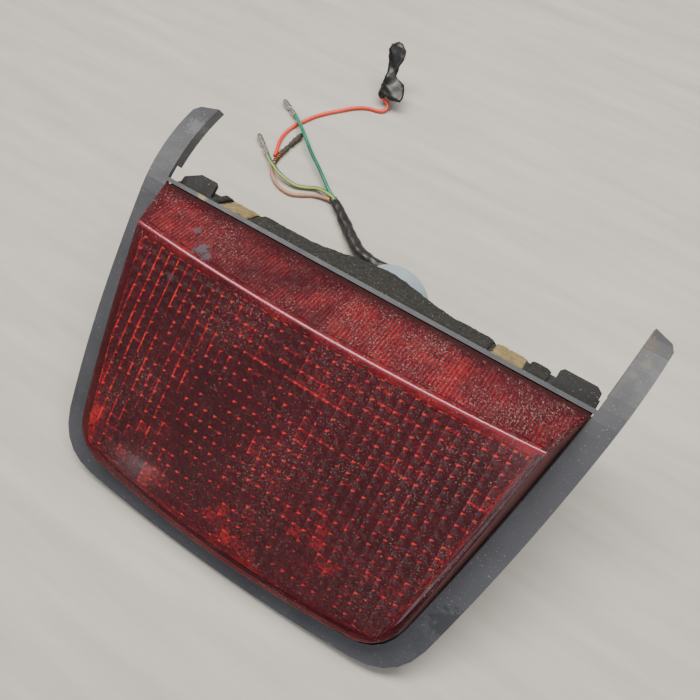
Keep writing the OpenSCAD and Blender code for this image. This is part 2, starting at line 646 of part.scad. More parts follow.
module contact_springs() {
    turns = 3;
    top = plate_z - 1.1;
    color("silver") on_port() skin([for (i = [0 : 12 * turns])
        let (q = 30 * i, z = spring_z - 0.3 + (top - spring_z - 0.1) * i / (12 * turns),
             c = [6.4 * cos(q), 6.4 * sin(q), z + 0.9])
        ring_at(c, [-sin(q), cos(q), 0.05] / norm([1, 0.05]), 0.45, 6)]);
}

// ---- bulb ----
module contact_plate() {
    color([0.35, 0.22, 0.12]) on_port() difference() {
        translate([0, 0, plate_z]) cylinder(h = 2, r = shell_in - 0.2, $fn = SMOOTH);
        for (s = [-1, 1]) translate([s * rivet_x, 0, plate_z - FLUSH]) cylinder(h = 3.4, r = 1, $fn = 24);
    }
}
module contact_rivets() {
    color("gold") on_port() for (s = [-1, 1]) translate([s * rivet_x, 0, 0]) {
        translate([0, 0, plate_z - 0.8]) cylinder(h = 0.75, r = 1.8, $fn = 32);
        translate([0, 0, plate_z - 0.1]) cylinder(h = 2.2, r = 0.95, $fn = 32);
        translate([0, 0, plate_z + 2.05]) cylinder(h = 0.9, r = 1.8, $fn = 32);
    }
}
module bulb_base() {
    color("goldenrod") on_port() difference() {
        translate([0, 0, base_z]) cylinder(h = base_h, r = base_r, $fn = SMOOTH);
        translate([0, 0, base_z + 2]) cylinder(h = base_h, r = base_r - 0.5, $fn = SMOOTH);
        translate([0, 0, base_z - FLUSH]) cylinder(h = 3.2, r = base_r - 1, $fn = SMOOTH);
    }
}
module bulb_pins() {
    color("goldenrod") on_port() for (k = [0, 1]) rotate([0, 0, 180 * k])
        translate([base_r + 0.02, 0, pin_heights[k]]) rotate([0, 90, 0])
            cylinder(h = 0.9, r = pin_r, $fn = 24);
}
module base_insulator() {
    color([0.05, 0.05, 0.08]) on_port() difference() {
        translate([0, 0, base_z]) cylinder(h = 1.9, r = base_r - 1.05, $fn = SMOOTH);
        for (s = [-1, 1]) translate([s * rivet_x, 0, base_z - FLUSH]) cylinder(h = 3.4, r = 1, $fn = 24);
    }
}
module solder_contacts() {
    color("silver") on_port() for (s = [-1, 1]) translate([s * rivet_x, 0, 0]) {
        cylinder(h = base_z - 0.02, r = 1.6, $fn = 32);
        translate([0, 0, base_z - 0.1]) cylinder(h = 1.8, r = 0.95, $fn = 32);
    }
}
function glass_profile(r, neck, z0, low) = concat(
    [[neck, z0], [neck, base_z + base_h + 0.4]],
    [for (q = [low : 10 : 90]) [max(0, r * cos(q)), glass_z + r * sin(q)]]);
module bulb_glass() {
    neck = base_r - 0.7;
    wall = 0.7;
    z0 = base_z + base_h - 3;
    outer = glass_profile(glass_r, neck, z0, -50);
    inner = glass_profile(glass_r - wall, neck - wall, z0, -50);
    color([0.9, 0.95, 1, 0.4]) on_port() rotate_extrude($fn = SMOOTH) polygon(concat(outer, reversed(inner)));
}
module glass_stem() {
    color([0.85, 0.9, 0.95, 0.6]) on_port() {
        translate([0, 0, base_z + 3]) cylinder(h = 4, r1 = base_r - 1.6, r2 = 2.4, $fn = 32);
        translate([0, 0, base_z + 7]) cylinder(h = glass_z - base_z - 17, r = 2.4, $fn = 32);
    }
}
post_spots = [[-5, 1.2], [-5, -1.2], [5, 1.2], [5, -1.2]];
module filament_posts() {
    z = glass_z - 10;
    color("gray") on_port() for (p = post_spots)
        between([p[0] * 0.3, p[1] * 0.9, z + 0.05], [p[0], p[1] * 2.4, glass_z - 0.6])
            cylinder(h = 10.6, r = 0.3, $fn = 24);
}
module filaments() {
    color("dimgray") on_port() for (s = [-1, 1])
        translate([-4.4, s * 2.9, glass_z + 1.3]) rotate([0, 90, 0]) cylinder(h = 8.8, r = 0.45, $fn = 24);
}

// ---- leads ----
module lead_sleeve() { color([0.1, 0.1, 0.1]) tube(sleeve_way, sleeve_d, 10); }
module wire_green() { color([0.05, 0.45, 0.3]) tube(green_way, wire_d); }
module wire_green_yellow() { color([0.2, 0.6, 0.35]) tube(green_yellow_way, wire_d); }
module wire_brown() { color([0.6, 0.45, 0.35]) tube(brown_way, wire_d); }
module wire_red() { color([0.85, 0.25, 0.18]) tube(red_way, wire_d); }

// Crimped bullet: barrel over the wire, waist, plug with a rounded nose
module bullet(ends) {
    n = norm(ends[1] - ends[0]);
    r = bullet_d / 2;
    between(ends[0], ends[1]) rotate_extrude($fn = 32) polygon([
        [0, 0], [r * 0.85, 0], [r * 0.85, n * 0.34], [r * 0.6, n * 0.38], [r * 0.6, n * 0.46], [r, n * 0.5],
        [r, n * 0.86], [r * 0.8, n * 0.95], [r * 0.4, n], [0, n]]);
}
module bullet_green() { color("silver") bullet(bullet_ends[0]); }
module bullet_green_yellow() { color("silver") bullet(bullet_ends[1]); }
module bullet_brown() { color([0.35, 0.32, 0.28]) bullet(bullet_ends[2]); }

// Wad of tape round the end of the red wire: a neck, a folded lobe on the ground and a flag that stands up
tape_way = [
    [[-99.8, 227.6, 5], 2.8, 3.2], [[-101, 229.4, 7], 7, 4.6], [[-99.5, 232, 9.5], 13, 5],
    [[-98.5, 235.5, 12.5], 13, 4.6], [[-100.5, 240, 16.5], 7.5, 3.6], [[-101.5, 245, 20.5], 8.5, 2.8],
    [[-102.5, 249.5, 25], 12, 2.4], [[-104.5, 252.5, 29], 11, 2], [[-106.5, 254, 31.5], 6, 1.6]
];
module insulating_tape() {
    route = [for (p = tape_way) p[0]];
    color([0.06, 0.06, 0.06]) skin([for (i = [0 : len(tape_way) - 1])
        let (run = run_at(route, i), across = cross([0, 0, 1], run) / norm(cross([0, 0, 1], run)),
             up = cross(run, across), w = tape_way[i][1] / 2, t = tape_way[i][2] / 2)
        [for (k = [0 : 9]) let (q = 36 * (k + 0.5)) route[i] + across * w * cos(q) + up * t * sin(q)]]);
}

lens();
lens_sealant();
reflector();
bezel();
housing();
foam_strip();
adhesive_pads();
case_screws();
mount_studs();
stud_grommets();
port_seal();
holder_barrel();
holder_cap();
socket_shell();
earth_tab();
contact_springs();
contact_plate();
contact_rivets();
bulb_base();
bulb_pins();
base_insulator();
solder_contacts();
bulb_glass();
glass_stem();
filament_posts();
filaments();
lead_sleeve();
wire_green();
wire_green_yellow();
wire_brown();
wire_red();
bullet_green();
bullet_green_yellow();
bullet_brown();
insulating_tape();
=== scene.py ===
"""Rear lamp of a light motorcycle, lying face up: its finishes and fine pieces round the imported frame."""

from __future__ import annotations

import json
import logging
import math
import random
from dataclasses import dataclass, field, replace
from enum import Enum
from typing import Callable, Sequence

import bpy
from mathutils import Matrix, Vector, noise

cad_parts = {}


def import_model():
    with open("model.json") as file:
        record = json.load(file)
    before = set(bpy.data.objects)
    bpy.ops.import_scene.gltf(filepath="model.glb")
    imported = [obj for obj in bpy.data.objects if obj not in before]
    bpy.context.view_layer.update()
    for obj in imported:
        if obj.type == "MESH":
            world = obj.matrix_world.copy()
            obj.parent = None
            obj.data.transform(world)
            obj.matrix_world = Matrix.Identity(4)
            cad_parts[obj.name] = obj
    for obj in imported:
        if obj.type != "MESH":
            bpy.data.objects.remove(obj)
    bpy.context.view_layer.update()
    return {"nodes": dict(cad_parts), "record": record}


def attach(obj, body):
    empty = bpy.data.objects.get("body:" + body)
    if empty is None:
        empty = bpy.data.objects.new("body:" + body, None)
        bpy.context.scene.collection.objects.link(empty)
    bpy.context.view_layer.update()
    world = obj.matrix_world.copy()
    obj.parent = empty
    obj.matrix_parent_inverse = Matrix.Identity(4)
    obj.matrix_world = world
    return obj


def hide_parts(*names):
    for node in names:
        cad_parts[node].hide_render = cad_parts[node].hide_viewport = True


LOG = logging.getLogger("rear_lamp")
MM = 0.001
BODY = "lamp"  # the fixed body, which every piece made here rides on
STUD_RIGHT = (78, -50, -56.2)  # the right-hand mounting stud's place on the lamp, in mm
PVC_IOR = 1.53
ACRYLIC_IOR = 1.49

Point = Sequence[float]
Socket = bpy.types.NodeSocket


class FarEnd(Enum):
    """What the far end of a lead carries."""

    BULLET = "connector"
    TAPED_JOINT = "fitting"
    ITS_WIRES = "bare"


# ---- small tools ----
def to_linear(code: str) -> tuple[float, float, float, float]:
    """Turns an sRGB hex colour into linear RGBA.

    Args:
        code: The colour as "#rrggbb".

    Returns:
        Red, green, blue and an alpha of one.
    """
    parts = [int(code[i:i + 2], 16) / 255 for i in (1, 3, 5)]
    red, green, blue = [c / 12.92 if c <= 0.04045 else ((c + 0.055) / 1.055) ** 2.4 for c in parts]
    return red, green, blue, 1.0


def per_mm(size: float) -> float:
    """Returns the texture scale at which one feature is size millimetres across."""
    return 1.0 / (size * MM)


def clamp(value: float) -> float:
    """Returns a value held between 0 and 1."""
    return max(0.0, min(1.0, value))


def add(tree: bpy.types.NodeTree, kind: str, links: dict | None = None,
        stops: Sequence[tuple[float, str]] = (), **settings: object) -> bpy.types.Node:
    """Adds a node with its settings and links.

    Args:
        tree: The tree that takes the node.
        kind: The node's type.
        links: Input name or index to the socket, value or hex colour that feeds it.
        stops: Places and hex colours of a colour ramp.
        **settings: Properties of the node.

    Returns:
        The new node.
    """
    node = tree.nodes.new(kind)
    for name, value in settings.items():
        setattr(node, name, value)
    for name, value in (links or {}).items():
        if isinstance(value, Socket):
            tree.links.new(value, node.inputs[name])
        else:
            node.inputs[name].default_value = to_linear(value) if isinstance(value, str) else value
    for i, (place, code) in enumerate(stops):
        ramp = node.color_ramp.elements
        stop = ramp[i] if i < 2 else ramp.new(place)
        stop.position = place
        stop.color = to_linear(code)
    return node


def blank_material(name: str) -> tuple[bpy.types.Material, bpy.types.NodeTree, bpy.types.Node]:
    """Returns a new material with its tree and its shader."""
    material = bpy.data.materials.new(name)
    material.use_nodes = True
    return material, material.node_tree, material.node_tree.nodes["Principled BSDF"]


def smooth_path(points: Sequence[Point], steps: int = 6) -> list[Vector]:
    """Runs one smooth curve through the points of a route.

    Args:
        points: The route, in millimetres.
        steps: Stretches drawn between two points.

    Returns:
        The curve's points, in metres.
    """
    way = [Vector(p) * MM for p in points]
    way = [2 * way[0] - way[1], *way, 2 * way[-1] - way[-2]]
    path = []
    for a, b, c, d in zip(way, way[1:], way[2:], way[3:]):
        for k in range(steps):
            s = k / steps
            path.append(0.5 * (2 * b + (c - a) * s + (2 * a - 5 * b + 4 * c - d) * s * s
                               + (3 * b - a - 3 * c + d) * s ** 3))
    return [*path, way[-2]]


def make_object(name: str, points: Sequence[Vector], faces: Sequence[Sequence[int]],
                smooth: bool = True) -> bpy.types.Object:
    """Makes a mesh object in the row frame.

    Args:
        name: The piece's name.
        points: Its vertices, in metres.
        faces: Its faces.
        smooth: Whether the faces are shaded smooth.

    Returns:
        The new object.
    """
    mesh = bpy.data.meshes.new(name)
    mesh.from_pydata([tuple(p) for p in points], [], [tuple(f) for f in faces])
    mesh.polygons.foreach_set("use_smooth", [smooth] * len(mesh.polygons))
    piece = bpy.data.objects.new(name, mesh)
    bpy.context.scene.collection.objects.link(piece)
    return piece


def cell_corners(row: int, column: int, count: int) -> tuple[int, int, int, int]:
    """Numbers the points round one cell of a grid.

    Args:
        row: The cell's row.
        column: The cell's column.
        count: Points to a row.

    Returns:
        The four point numbers, in order round the cell.
    """
    first = row * count + column
    return first, first + count, first + count + 1, first + 1


def wrap_rings(rings: Sequence[Sequence[Vector]]) -> tuple[list[Vector], list[list[int]]]:
    """Wraps a closed skin round a row of rings.

    Args:
        rings: Rings with the same number of points.

    Returns:
        The skin's points and faces, with both ends closed.
    """
    count = len(rings[0])
    points = [p for ring in rings for p in ring]
    steps = [(i, (i + 1) % count) for i in range(count)]
    faces = [[k * count + i, k * count + j, (k + 1) * count + j, (k + 1) * count + i]
             for k in range(len(rings) - 1) for i, j in steps]
    faces.append(list(range(count))[::-1])
    faces.append([(len(rings) - 1) * count + i for i in range(count)])
    return points, faces


def run_frame(path: Sequence[Vector], k: int) -> tuple[Vector, Vector]:
    """Works out the two directions across a path at one of its points.

    Args:
        path: The path.
        k: The point's number.

    Returns:
        The level direction and the upright one.
    """
    run = (path[min(k + 1, len(path) - 1)] - path[max(k - 1, 0)]).normalized()
    across = Vector((0, 0, 1)).cross(run).normalized()
    return across, run.cross(across)


def tube(name: str, path: Sequence[Vector], radius: Callable[[float, float], float],
         sides: int = 16) -> bpy.types.Object:
    """Sweeps a round section along a path, with U along it and V round it.

    Args:
        name: The piece's name.
        path: The centreline, in metres.
        radius: Gives the radius at a share of the length and an angle.
        sides: Points round the section.

    Returns:
        The tube, closed at both ends.
    """
    rings = []
    for k, centre in enumerate(path):
        across, upright = run_frame(path, k)
        ring = []
        for i in range(sides):
            q = 2 * math.pi * i / sides
            out = across * math.cos(q) + upright * math.sin(q)
            ring.append(centre + out * radius(k / (len(path) - 1), q))
        rings.append(ring)
    piece = make_object(name, *wrap_rings(rings))
    layer = piece.data.uv_layers.new(name="along")
    for polygon in piece.data.polygons[:-2]:
        ring, side = divmod(polygon.index, sides)
        for loop, (du, dv) in zip(polygon.loop_indices, ((0, 0), (0, 1), (1, 1), (1, 0))):
            layer.data[loop].uv = ((ring + du) / (len(path) - 1), (side + dv) / sides)
    return piece


def settle(piece: bpy.types.Object, material: bpy.types.Material,
           replaces: Sequence[str] = ()) -> None:
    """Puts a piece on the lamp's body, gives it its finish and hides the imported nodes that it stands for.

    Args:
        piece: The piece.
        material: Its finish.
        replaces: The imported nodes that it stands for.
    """
    piece.data.materials.append(material)
    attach(piece, BODY)
    if replaces:
        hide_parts(*replaces)
    LOG.info("%s rides on %s", piece.name, BODY)


# ---- the lamp's own frame ----
@dataclass(frozen=True)
class LampFrame:
    """Frame of the lamp itself: X along the lens's top edge, Y up the lamp, Z out of its face, in mm."""

    tilt: float
    origin: Vector

    @classmethod
    def from_record(cls, record: dict) -> LampFrame:
        """Works the frame out from the right-hand mounting stud, whose place on the lamp is known."""
        mounts = record.get("mounts") or record["interfaces"]["mounts"]
        stud = next(m for m in mounts if m["name"] == "stud_right")
        tilt = math.asin(stud["axis"][1])
        offset = Matrix.Rotation(tilt, 3, "X") @ Vector(STUD_RIGHT) * MM
        return cls(tilt, Vector(stud["pos_m"]) - offset)

    def matrix(self) -> Matrix:
        """Returns the matrix that takes the lamp's frame, in metres, to the row's."""
        return Matrix.Translation(self.origin) @ Matrix.Rotation(self.tilt, 4, "X")

    def to_row(self, x: float, y: float, z: float) -> Vector:
        """Returns the place in the row frame, in metres, of a point on the lamp, in mm."""
        return self.matrix() @ (Vector((x, y, z)) * MM)

    def coordinates(self, tree: bpy.types.NodeTree) -> Socket:
        """Adds the nodes that give a material the lamp's own coordinates, in metres."""
        back = self.matrix().inverted()
        place = add(tree, "ShaderNodeTexCoord")
        turned = add(tree, "ShaderNodeMapping", {
            "Vector": place.outputs["Object"], "Location": back.to_translation(),
            "Rotation": (-self.tilt, 0, 0)})
        return turned.outputs[0]


# ---- finishes ----
@dataclass(frozen=True)
class Spot:
    """A stained or worn patch at a place on the lamp, in mm."""

    x: float
    y: float
    radius: float
    colour: str
    strength: float = 1.0


@dataclass(frozen=True)
class Finish:
    """A worn surface: mottled colour, dirt in patches, fine specks and a grain that catches the light.

    Every size is the real one in millimetres. Moulded texture, drawing marks and pores finer than about
    0.3 mm wouldn't show at the size the lamp is seen, so grain_mm and speck_mm are drawn that coarse.
    """

    name: str
    colour: str
    mottle: str
    dirt: str
    dirt_share: float = 0.3
    mottle_mm: float = 9.0
    dirt_mm: float = 6.0
    speck: str = "#b8a892"
    speck_share: float = 0.0
    speck_mm: float = 0.6
    grain_mm: float = 0.5
    grain_depth_mm: float = 0.04
    metallic: float = 0.0
    roughness: float = 0.5
    rubbed: float = 0.12
    ior: float = 1.5
    alpha: float = 1.0
    stretch: tuple[float, float, float] = (1.0, 1.0, 1.0)
    spots: tuple[Spot, ...] = ()

    def build(self, lamp: LampFrame) -> bpy.types.Material:
        """Builds the material.

        Args:
            lamp: The lamp's frame, which the patches are placed in.

        Returns:
            The material.
        """
        material, tree, shader = blank_material(self.name)
        where = lamp.coordinates(tree)
        grain_place = add(tree, "ShaderNodeMapping", {"Vector": where, "Scale": self.stretch}).outputs[0]
        colour = self.paint(tree, where, grain_place)
        tree.links.new(colour, shader.inputs["Base Color"])
        grain = add(tree, "ShaderNodeTexNoise", {
            "Vector": grain_place, "Scale": per_mm(self.grain_mm), "Detail": 3.0, "Roughness": 0.6})
        bump = add(tree, "ShaderNodeBump", {
            "Height": grain.outputs[0], "Distance": self.grain_depth_mm * MM, "Strength": 0.8})
        tree.links.new(bump.outputs[0], shader.inputs["Normal"])
        worn = add(tree, "ShaderNodeTexNoise", {
            "Vector": where, "Scale": per_mm(self.mottle_mm * 0.7), "Detail": 5.0})
        rough = add(tree, "ShaderNodeMapRange", {
            "Value": worn.outputs[0], "From Min": 0.3, "From Max": 0.7,
            "To Min": max(0.04, self.roughness - self.rubbed),
            "To Max": min(1.0, self.roughness + self.rubbed)})
        tree.links.new(rough.outputs[0], shader.inputs["Roughness"])
        shader.inputs["Metallic"].default_value = self.metallic
        if not self.metallic:
            shader.inputs["IOR"].default_value = self.ior
        shader.inputs["Alpha"].default_value = self.alpha
        return material

    def paint(self, tree: bpy.types.NodeTree, where: Socket, grain_place: Socket) -> Socket:
        """Lays the colours over each other: mottle, dirt, specks and then the placed patches.

        Args:
            tree: The material's tree.
            where: The lamp's coordinates.
            grain_place: The same, stretched along the grain.

        Returns:
            The colour.
        """
        cloud = add(tree, "ShaderNodeTexNoise", {
            "Vector": where, "Scale": per_mm(self.mottle_mm), "Detail": 4.0})
        tone = add(tree, "ShaderNodeValToRGB", {"Fac": cloud.outputs[0]},
                   stops=((0.35, self.colour), (0.68, self.mottle)))
        film = add(tree, "ShaderNodeTexNoise", {
            "Vector": grain_place, "Scale": per_mm(self.dirt_mm), "Detail": 8.0, "Roughness": 0.65})
        edge = 0.72 - 0.4 * self.dirt_share
        mask = add(tree, "ShaderNodeMapRange", {
            "Value": film.outputs[0], "From Min": edge, "From Max": edge + 0.16, "To Max": 0.75})
        colour = add(tree, "ShaderNodeMixRGB", {
            "Fac": mask.outputs[0], "Color1": tone.outputs[0], "Color2": self.dirt}).outputs[0]
        if self.speck_share:
            dots = add(tree, "ShaderNodeTexNoise", {
                "Vector": where, "Scale": per_mm(self.speck_mm), "Detail": 2.0})
            edge = 0.74 - 0.3 * self.speck_share
            mask = add(tree, "ShaderNodeMapRange", {
                "Value": dots.outputs[0], "From Min": edge, "From Max": edge + 0.04})
            colour = add(tree, "ShaderNodeMixRGB", {
                "Fac": mask.outputs[0], "Color1": colour, "Color2": self.speck}).outputs[0]
        for spot in self.spots:
            colour = add(tree, "ShaderNodeMixRGB", {
                "Fac": patch(tree, where, spot), "Color1": colour, "Color2": spot.colour}).outputs[0]
        return colour


def patch(tree: bpy.types.NodeTree, where: Socket, spot: Spot) -> Socket:
    """Masks a ragged patch round a place on the lamp.

    Args:
        tree: The material's tree.
        where: The lamp's coordinates.
        spot: The patch.

    Returns:
        The mask, which is the patch's strength inside it and 0 outside.
    """
    flat = add(tree, "ShaderNodeVectorMath", {0: where, 1: (1, 1, 0)}, operation="MULTIPLY")
    away = add(tree, "ShaderNodeVectorMath", {
        0: flat.outputs[0], 1: (spot.x * MM, spot.y * MM, 0)}, operation="DISTANCE")
    ragged = add(tree, "ShaderNodeTexNoise", {
        "Vector": where, "Scale": per_mm(spot.radius * 0.35), "Detail": 6.0, "Roughness": 0.7})
    radius = spot.radius * MM
    reach = add(tree, "ShaderNodeMath", {
        0: ragged.outputs[0], 1: -4.5 * radius, 2: away.outputs["Value"]}, operation="MULTIPLY_ADD")
    mask = add(tree, "ShaderNodeMapRange", {
        "Value": reach.outputs[0], "From Min": -1.6 * radius, "From Max": -1.2 * radius,
        "To Min": spot.strength, "To Max": 0.0})
    return mask.outputs[0]


# ABS, moulded against spark-eroded steel: a dull slate grey that scuffs paler, with oily stains at its
# lower right corner and mud on the ears. The texture is 0.1 mm in life and is drawn at 0.5 mm to show
BEZEL_ABS = Finish(
    "moulded_grey_abs", "#3b3c41", "#434449", "#58585a", dirt_share=0.14, mottle_mm=22, dirt_mm=5,
    speck="#85817a", speck_share=0.2, speck_mm=0.8, grain_mm=0.5, grain_depth_mm=0.05, roughness=0.5,
    ior=1.54, spots=(
        Spot(113, -115, 9, "#26282c", 0.85), Spot(107, -128, 6, "#2f3135", 0.6),
        Spot(128, 40, 4.0, "#5d4c33", 0.4), Spot(130, 31, 2.6, "#6e6149", 0.35),
        Spot(127, 24, 1.8, "#6b5a42", 0.35), Spot(-98, 1.6, 3, "#8f7d5e", 0.8),
        Spot(-128, 34, 5, "#7b7d7f", 0.3)))
# ABS, moulded black: a dry, dusty black with grit left in its corners
HOUSING_ABS = Finish(
    "moulded_black_abs", "#131415", "#1c1d1e", "#4a463f", dirt_share=0.34, mottle_mm=12, dirt_mm=4,
    speck="#8a8172", speck_share=0.2, speck_mm=0.7, grain_depth_mm=0.05, roughness=0.62, ior=1.54)
# Butyl sealant, laid as a bead: tacky black with dust in it
SEALANT = Finish("butyl_bead", "#101012", "#1c1a1a", "#3a352f", roughness=0.7, grain_depth_mm=0.1)
# A dark bead that stands in for the shadow in the gap between the lens's wall and the bezel: painted
# shadow, with brown dirt in its skin
SHADOW_GAP_BEAD = Finish(
    "painted_shadow_gap_bead", "#241a1a", "#372826", "#6b564a", dirt_share=0.35, mottle_mm=5, dirt_mm=2,
    roughness=0.7, grain_mm=0.7, grain_depth_mm=0.1)
# Polycarbonate, aluminised in vacuum: a mirror gone slightly cloudy
MIRROR = Finish("aluminised_polycarbonate", "#d7dadd", "#c4c8cc", "#9a968c", dirt_share=0.12, metallic=1.0,
                roughness=0.2, grain_mm=3, grain_depth_mm=0.01)
# PVC, dip moulded: the pale blue-grey of aged cable caps, chalky, with a greasy film
CAP_PVC = Finish(
    "moulded_blue_grey_pvc", "#8996a0", "#9aa6ae", "#5d5a52", dirt_share=0.2, mottle_mm=16, dirt_mm=7,
    speck="#4e4a44", speck_share=0.05, grain_mm=0.8, grain_depth_mm=0.03, roughness=0.5, ior=PVC_IOR)
# Phenolic resin, compression moulded: dull brown-black with a swirl
PHENOLIC = Finish("moulded_phenolic", "#2b2320", "#3a2c25", "#55493c", roughness=0.45, ior=1.6)
# Nitrile rubber, moulded: matt black that holds grey dust
RUBBER = Finish("moulded_rubber", "#141414", "#1d1d1c", "#45413b", dirt_share=0.3, roughness=0.75, ior=1.52)
# Steel, zinc plated and passivated: pale grey with a faint yellow bloom and white rust
ZINC_STEEL = Finish("zinc_plated_steel", "#b3b2aa", "#9c9a90", "#7a6a52", dirt_share=0.22, metallic=1.0,
                    mottle_mm=4, dirt_mm=2.5, grain_mm=0.4, grain_depth_mm=0.02, roughness=0.38)
# Steel, tin plated and drawn into a shell: soft grey shine
TINNED_STEEL = Finish("tinned_steel", "#c3c2bd", "#aaa9a3", "#6d6354", dirt_share=0.14, metallic=1.0,
                      mottle_mm=5, dirt_mm=3, grain_mm=0.6, grain_depth_mm=0.015, roughness=0.32)
# Brass, tin plated and crimped: bright silver with yellow where it has rubbed
BULLET_TIN = Finish("crimped_tinned_brass", "#cfccc3", "#b4b0a4", "#6b5d45", dirt_share=0.26, metallic=1.0,
                    mottle_mm=2.2, dirt_mm=1.3, grain_mm=0.3, grain_depth_mm=0.03, roughness=0.3)
# The same terminal after years of wet: dark, crusted and crumbling
BULLET_CORRODED = Finish("corroded_brass", "#3a342e", "#5a5044", "#8c8474", dirt_share=0.4, metallic=0.4,
                         mottle_mm=1.6, dirt_mm=1.0, speck="#9ba393", speck_share=0.25, speck_mm=0.4,
                         grain_mm=0.5, grain_depth_mm=0.2, roughness=0.75)
# Brass, drawn: warm yellow with brown tarnish
BRASS = Finish("drawn_brass", "#b08d4c", "#94733a", "#5d4a30", dirt_share=0.3, metallic=1.0, mottle_mm=4,
               dirt_mm=2.5, grain_mm=0.3, grain_depth_mm=0.01, roughness=0.3, stretch=(1, 1, 5))
# Tin-lead solder, set from a drop: grey and slightly pitted
SOLDER = Finish("set_solder", "#a7a8aa", "#8c8d8f", "#5f5b55", metallic=1.0, roughness=0.35, mottle_mm=1.5)
# Steel music wire, coiled and plated: thin bright lines round each turn, greyer where turns rub
SPRING_STEEL = Finish("plated_spring_wire", "#b9b6ae", "#98948a", "#6b5a45", metallic=1.0, roughness=0.3,
                      mottle_mm=2)
# Paper-filled laminate, punched: tobacco brown with fibres
LAMINATE = Finish(
    "punched_laminate", "#6b4426", "#7d5230", "#3c2a1c", mottle_mm=2, roughness=0.6, grain_mm=0.4)
# Vitrite, fired glass cement: glossy blue-black
VITRITE = Finish("fired_vitrite", "#0e0f16", "#191a24", "#2d2c30", dirt_share=0.1, roughness=0.15, ior=1.6)
# Soda glass, blown: clear with a grey bloom inside
BULB_GLASS = Finish(
    "blown_glass", "#dfe6e8", "#c9d2d6", "#8f8d88", dirt_share=0.1, roughness=0.1, alpha=0.22,
    grain_mm=6, grain_depth_mm=0.01)
# Lead glass, pressed on the wires: greenish and thick
STEM_GLASS = Finish(
    "pressed_glass", "#c8d4cf", "#b4c2bc", "#8a8f88", dirt_share=0.05, roughness=0.12, alpha=0.5)
# Nickel wire, drawn: a warm, even shine without marks
NICKEL = Finish("drawn_nickel", "#a9a59c", "#8e8a80", "#6a6458", metallic=1.0, roughness=0.28, mottle_mm=2)
# Tungsten wire, coiled: dull dark grey
TUNGSTEN = Finish(
    "coiled_tungsten", "#5a5a5c", "#48484a", "#39393a", metallic=1.0, roughness=0.45, mottle_mm=1)
# PVC insulation, extruded green over copper: saturated, with a soft shine and a little grime
WIRE_GREEN = Finish(
    "extruded_green_pvc", "#0a644a", "#178468", "#3c5a44", dirt_share=0.12, mottle_mm=12, dirt_mm=3,
    grain_mm=1.2, grain_depth_mm=0.02, roughness=0.36, ior=PVC_IOR)
# PVC insulation, extruded brown over copper: faded to a pinkish tan, duller and dirtier than the green
WIRE_BROWN = Finish(
    "extruded_brown_pvc", "#a97a63", "#b98c74", "#6d5648", dirt_share=0.2, mottle_mm=8, dirt_mm=3,
    grain_mm=1.2, grain_depth_mm=0.02, roughness=0.42, ior=PVC_IOR)
# PVC insulation, extruded red over copper: a bright orange red with the clearest shine of the wires
WIRE_RED = Finish(
    "extruded_red_pvc", "#d63a24", "#e34a31", "#8c3325", dirt_share=0.1, mottle_mm=14, dirt_mm=3,
    grain_mm=1.5, grain_depth_mm=0.02, roughness=0.34, ior=PVC_IOR)
# PVC sleeving, extruded thin and slid over the wires: creased, glossy on the folds and dusty between them
SLEEVING = Finish(
    "extruded_black_sleeving", "#1a1a1b", "#262524", "#6f685c", dirt_share=0.26, mottle_mm=7, dirt_mm=3,
    speck="#9a9284", speck_share=0.1, grain_mm=1.6, grain_depth_mm=0.12, roughness=0.38,
    spots=(Spot(-6, 79, 9, "#5c5248", 0.7), Spot(-72, 108, 5, "#565049", 0.4)))
# PVC tape, calendered and stretched: black, wrinkled, with a wet shine on its ridges
TAPE_PVC = Finish(
    "calendered_black_tape", "#070708", "#0e0e0f", "#292724", dirt_share=0.14, mottle_mm=5, dirt_mm=2,
    grain_mm=1.8, grain_depth_mm=0.12, roughness=0.36, ior=PVC_IOR)
# Copper, stranded: twisted round the joint, gone brown
COPPER = Finish(
    "stranded_copper", "#9a5f3e", "#7c4a31", "#4a4034", dirt_share=0.3, metallic=1.0, mottle_mm=1.5,
    dirt_mm=1, grain_mm=0.3, grain_depth_mm=0.03, roughness=0.4)
# Polyurethane foam tape, cut: open pores, perished to a grey-brown crumb. The pores are 0.3 mm in life
# and are drawn at 0.9 mm to show
FOAM = Finish(
    "cut_foam_tape", "#171715", "#232220", "#48443c", dirt_share=0.34, mottle_mm=3, dirt_mm=1.6,
    speck="#7b7566", speck_share=0.26, speck_mm=0.8, grain_mm=0.9, grain_depth_mm=0.45, roughness=0.95)
# Contact adhesive, brushed on and dried: amber and wavy where the foam has gone
GLUE = Finish("dried_adhesive", "#6d5a34", "#8a7547", "#2b2415", dirt_share=0.5, mottle_mm=4, dirt_mm=2,
              grain_mm=1.4, grain_depth_mm=0.2, roughness=0.28, ior=1.48)


@dataclass(frozen=True)
class StripedWire:
    """PVC insulation, extruded green with a yellow line along it, which covers a fifth of the way round."""

    name: str = "extruded_striped_pvc"
    stripe: str = "#b9b54a"
    low: float = 0.03
    high: float = 0.21

    def build(self, lamp: LampFrame) -> bpy.types.Material:
        """Builds the plain green finish and lays the yellow line over it.

        Args:
            lamp: The lamp's frame.

        Returns:
            The material.
        """
        material = replace(WIRE_GREEN, name=self.name).build(lamp)
        tree = material.node_tree
        shader = tree.nodes["Principled BSDF"]
        green = shader.inputs["Base Color"].links[0].from_socket
        layer = add(tree, "ShaderNodeUVMap", uv_map="along")
        parts = add(tree, "ShaderNodeSeparateXYZ", {0: layer.outputs[0]})
        middle, reach = (self.low + self.high) / 2, (self.high - self.low) / 2
        line = add(tree, "ShaderNodeMath", {0: parts.outputs[1], 1: middle, 2: reach}, operation="COMPARE")
        striped = add(tree, "ShaderNodeMixRGB", {
            "Fac": line.outputs[0], "Color1": green, "Color2": self.stripe})
        tree.links.new(striped.outputs[0], shader.inputs["Base Color"])
        return material


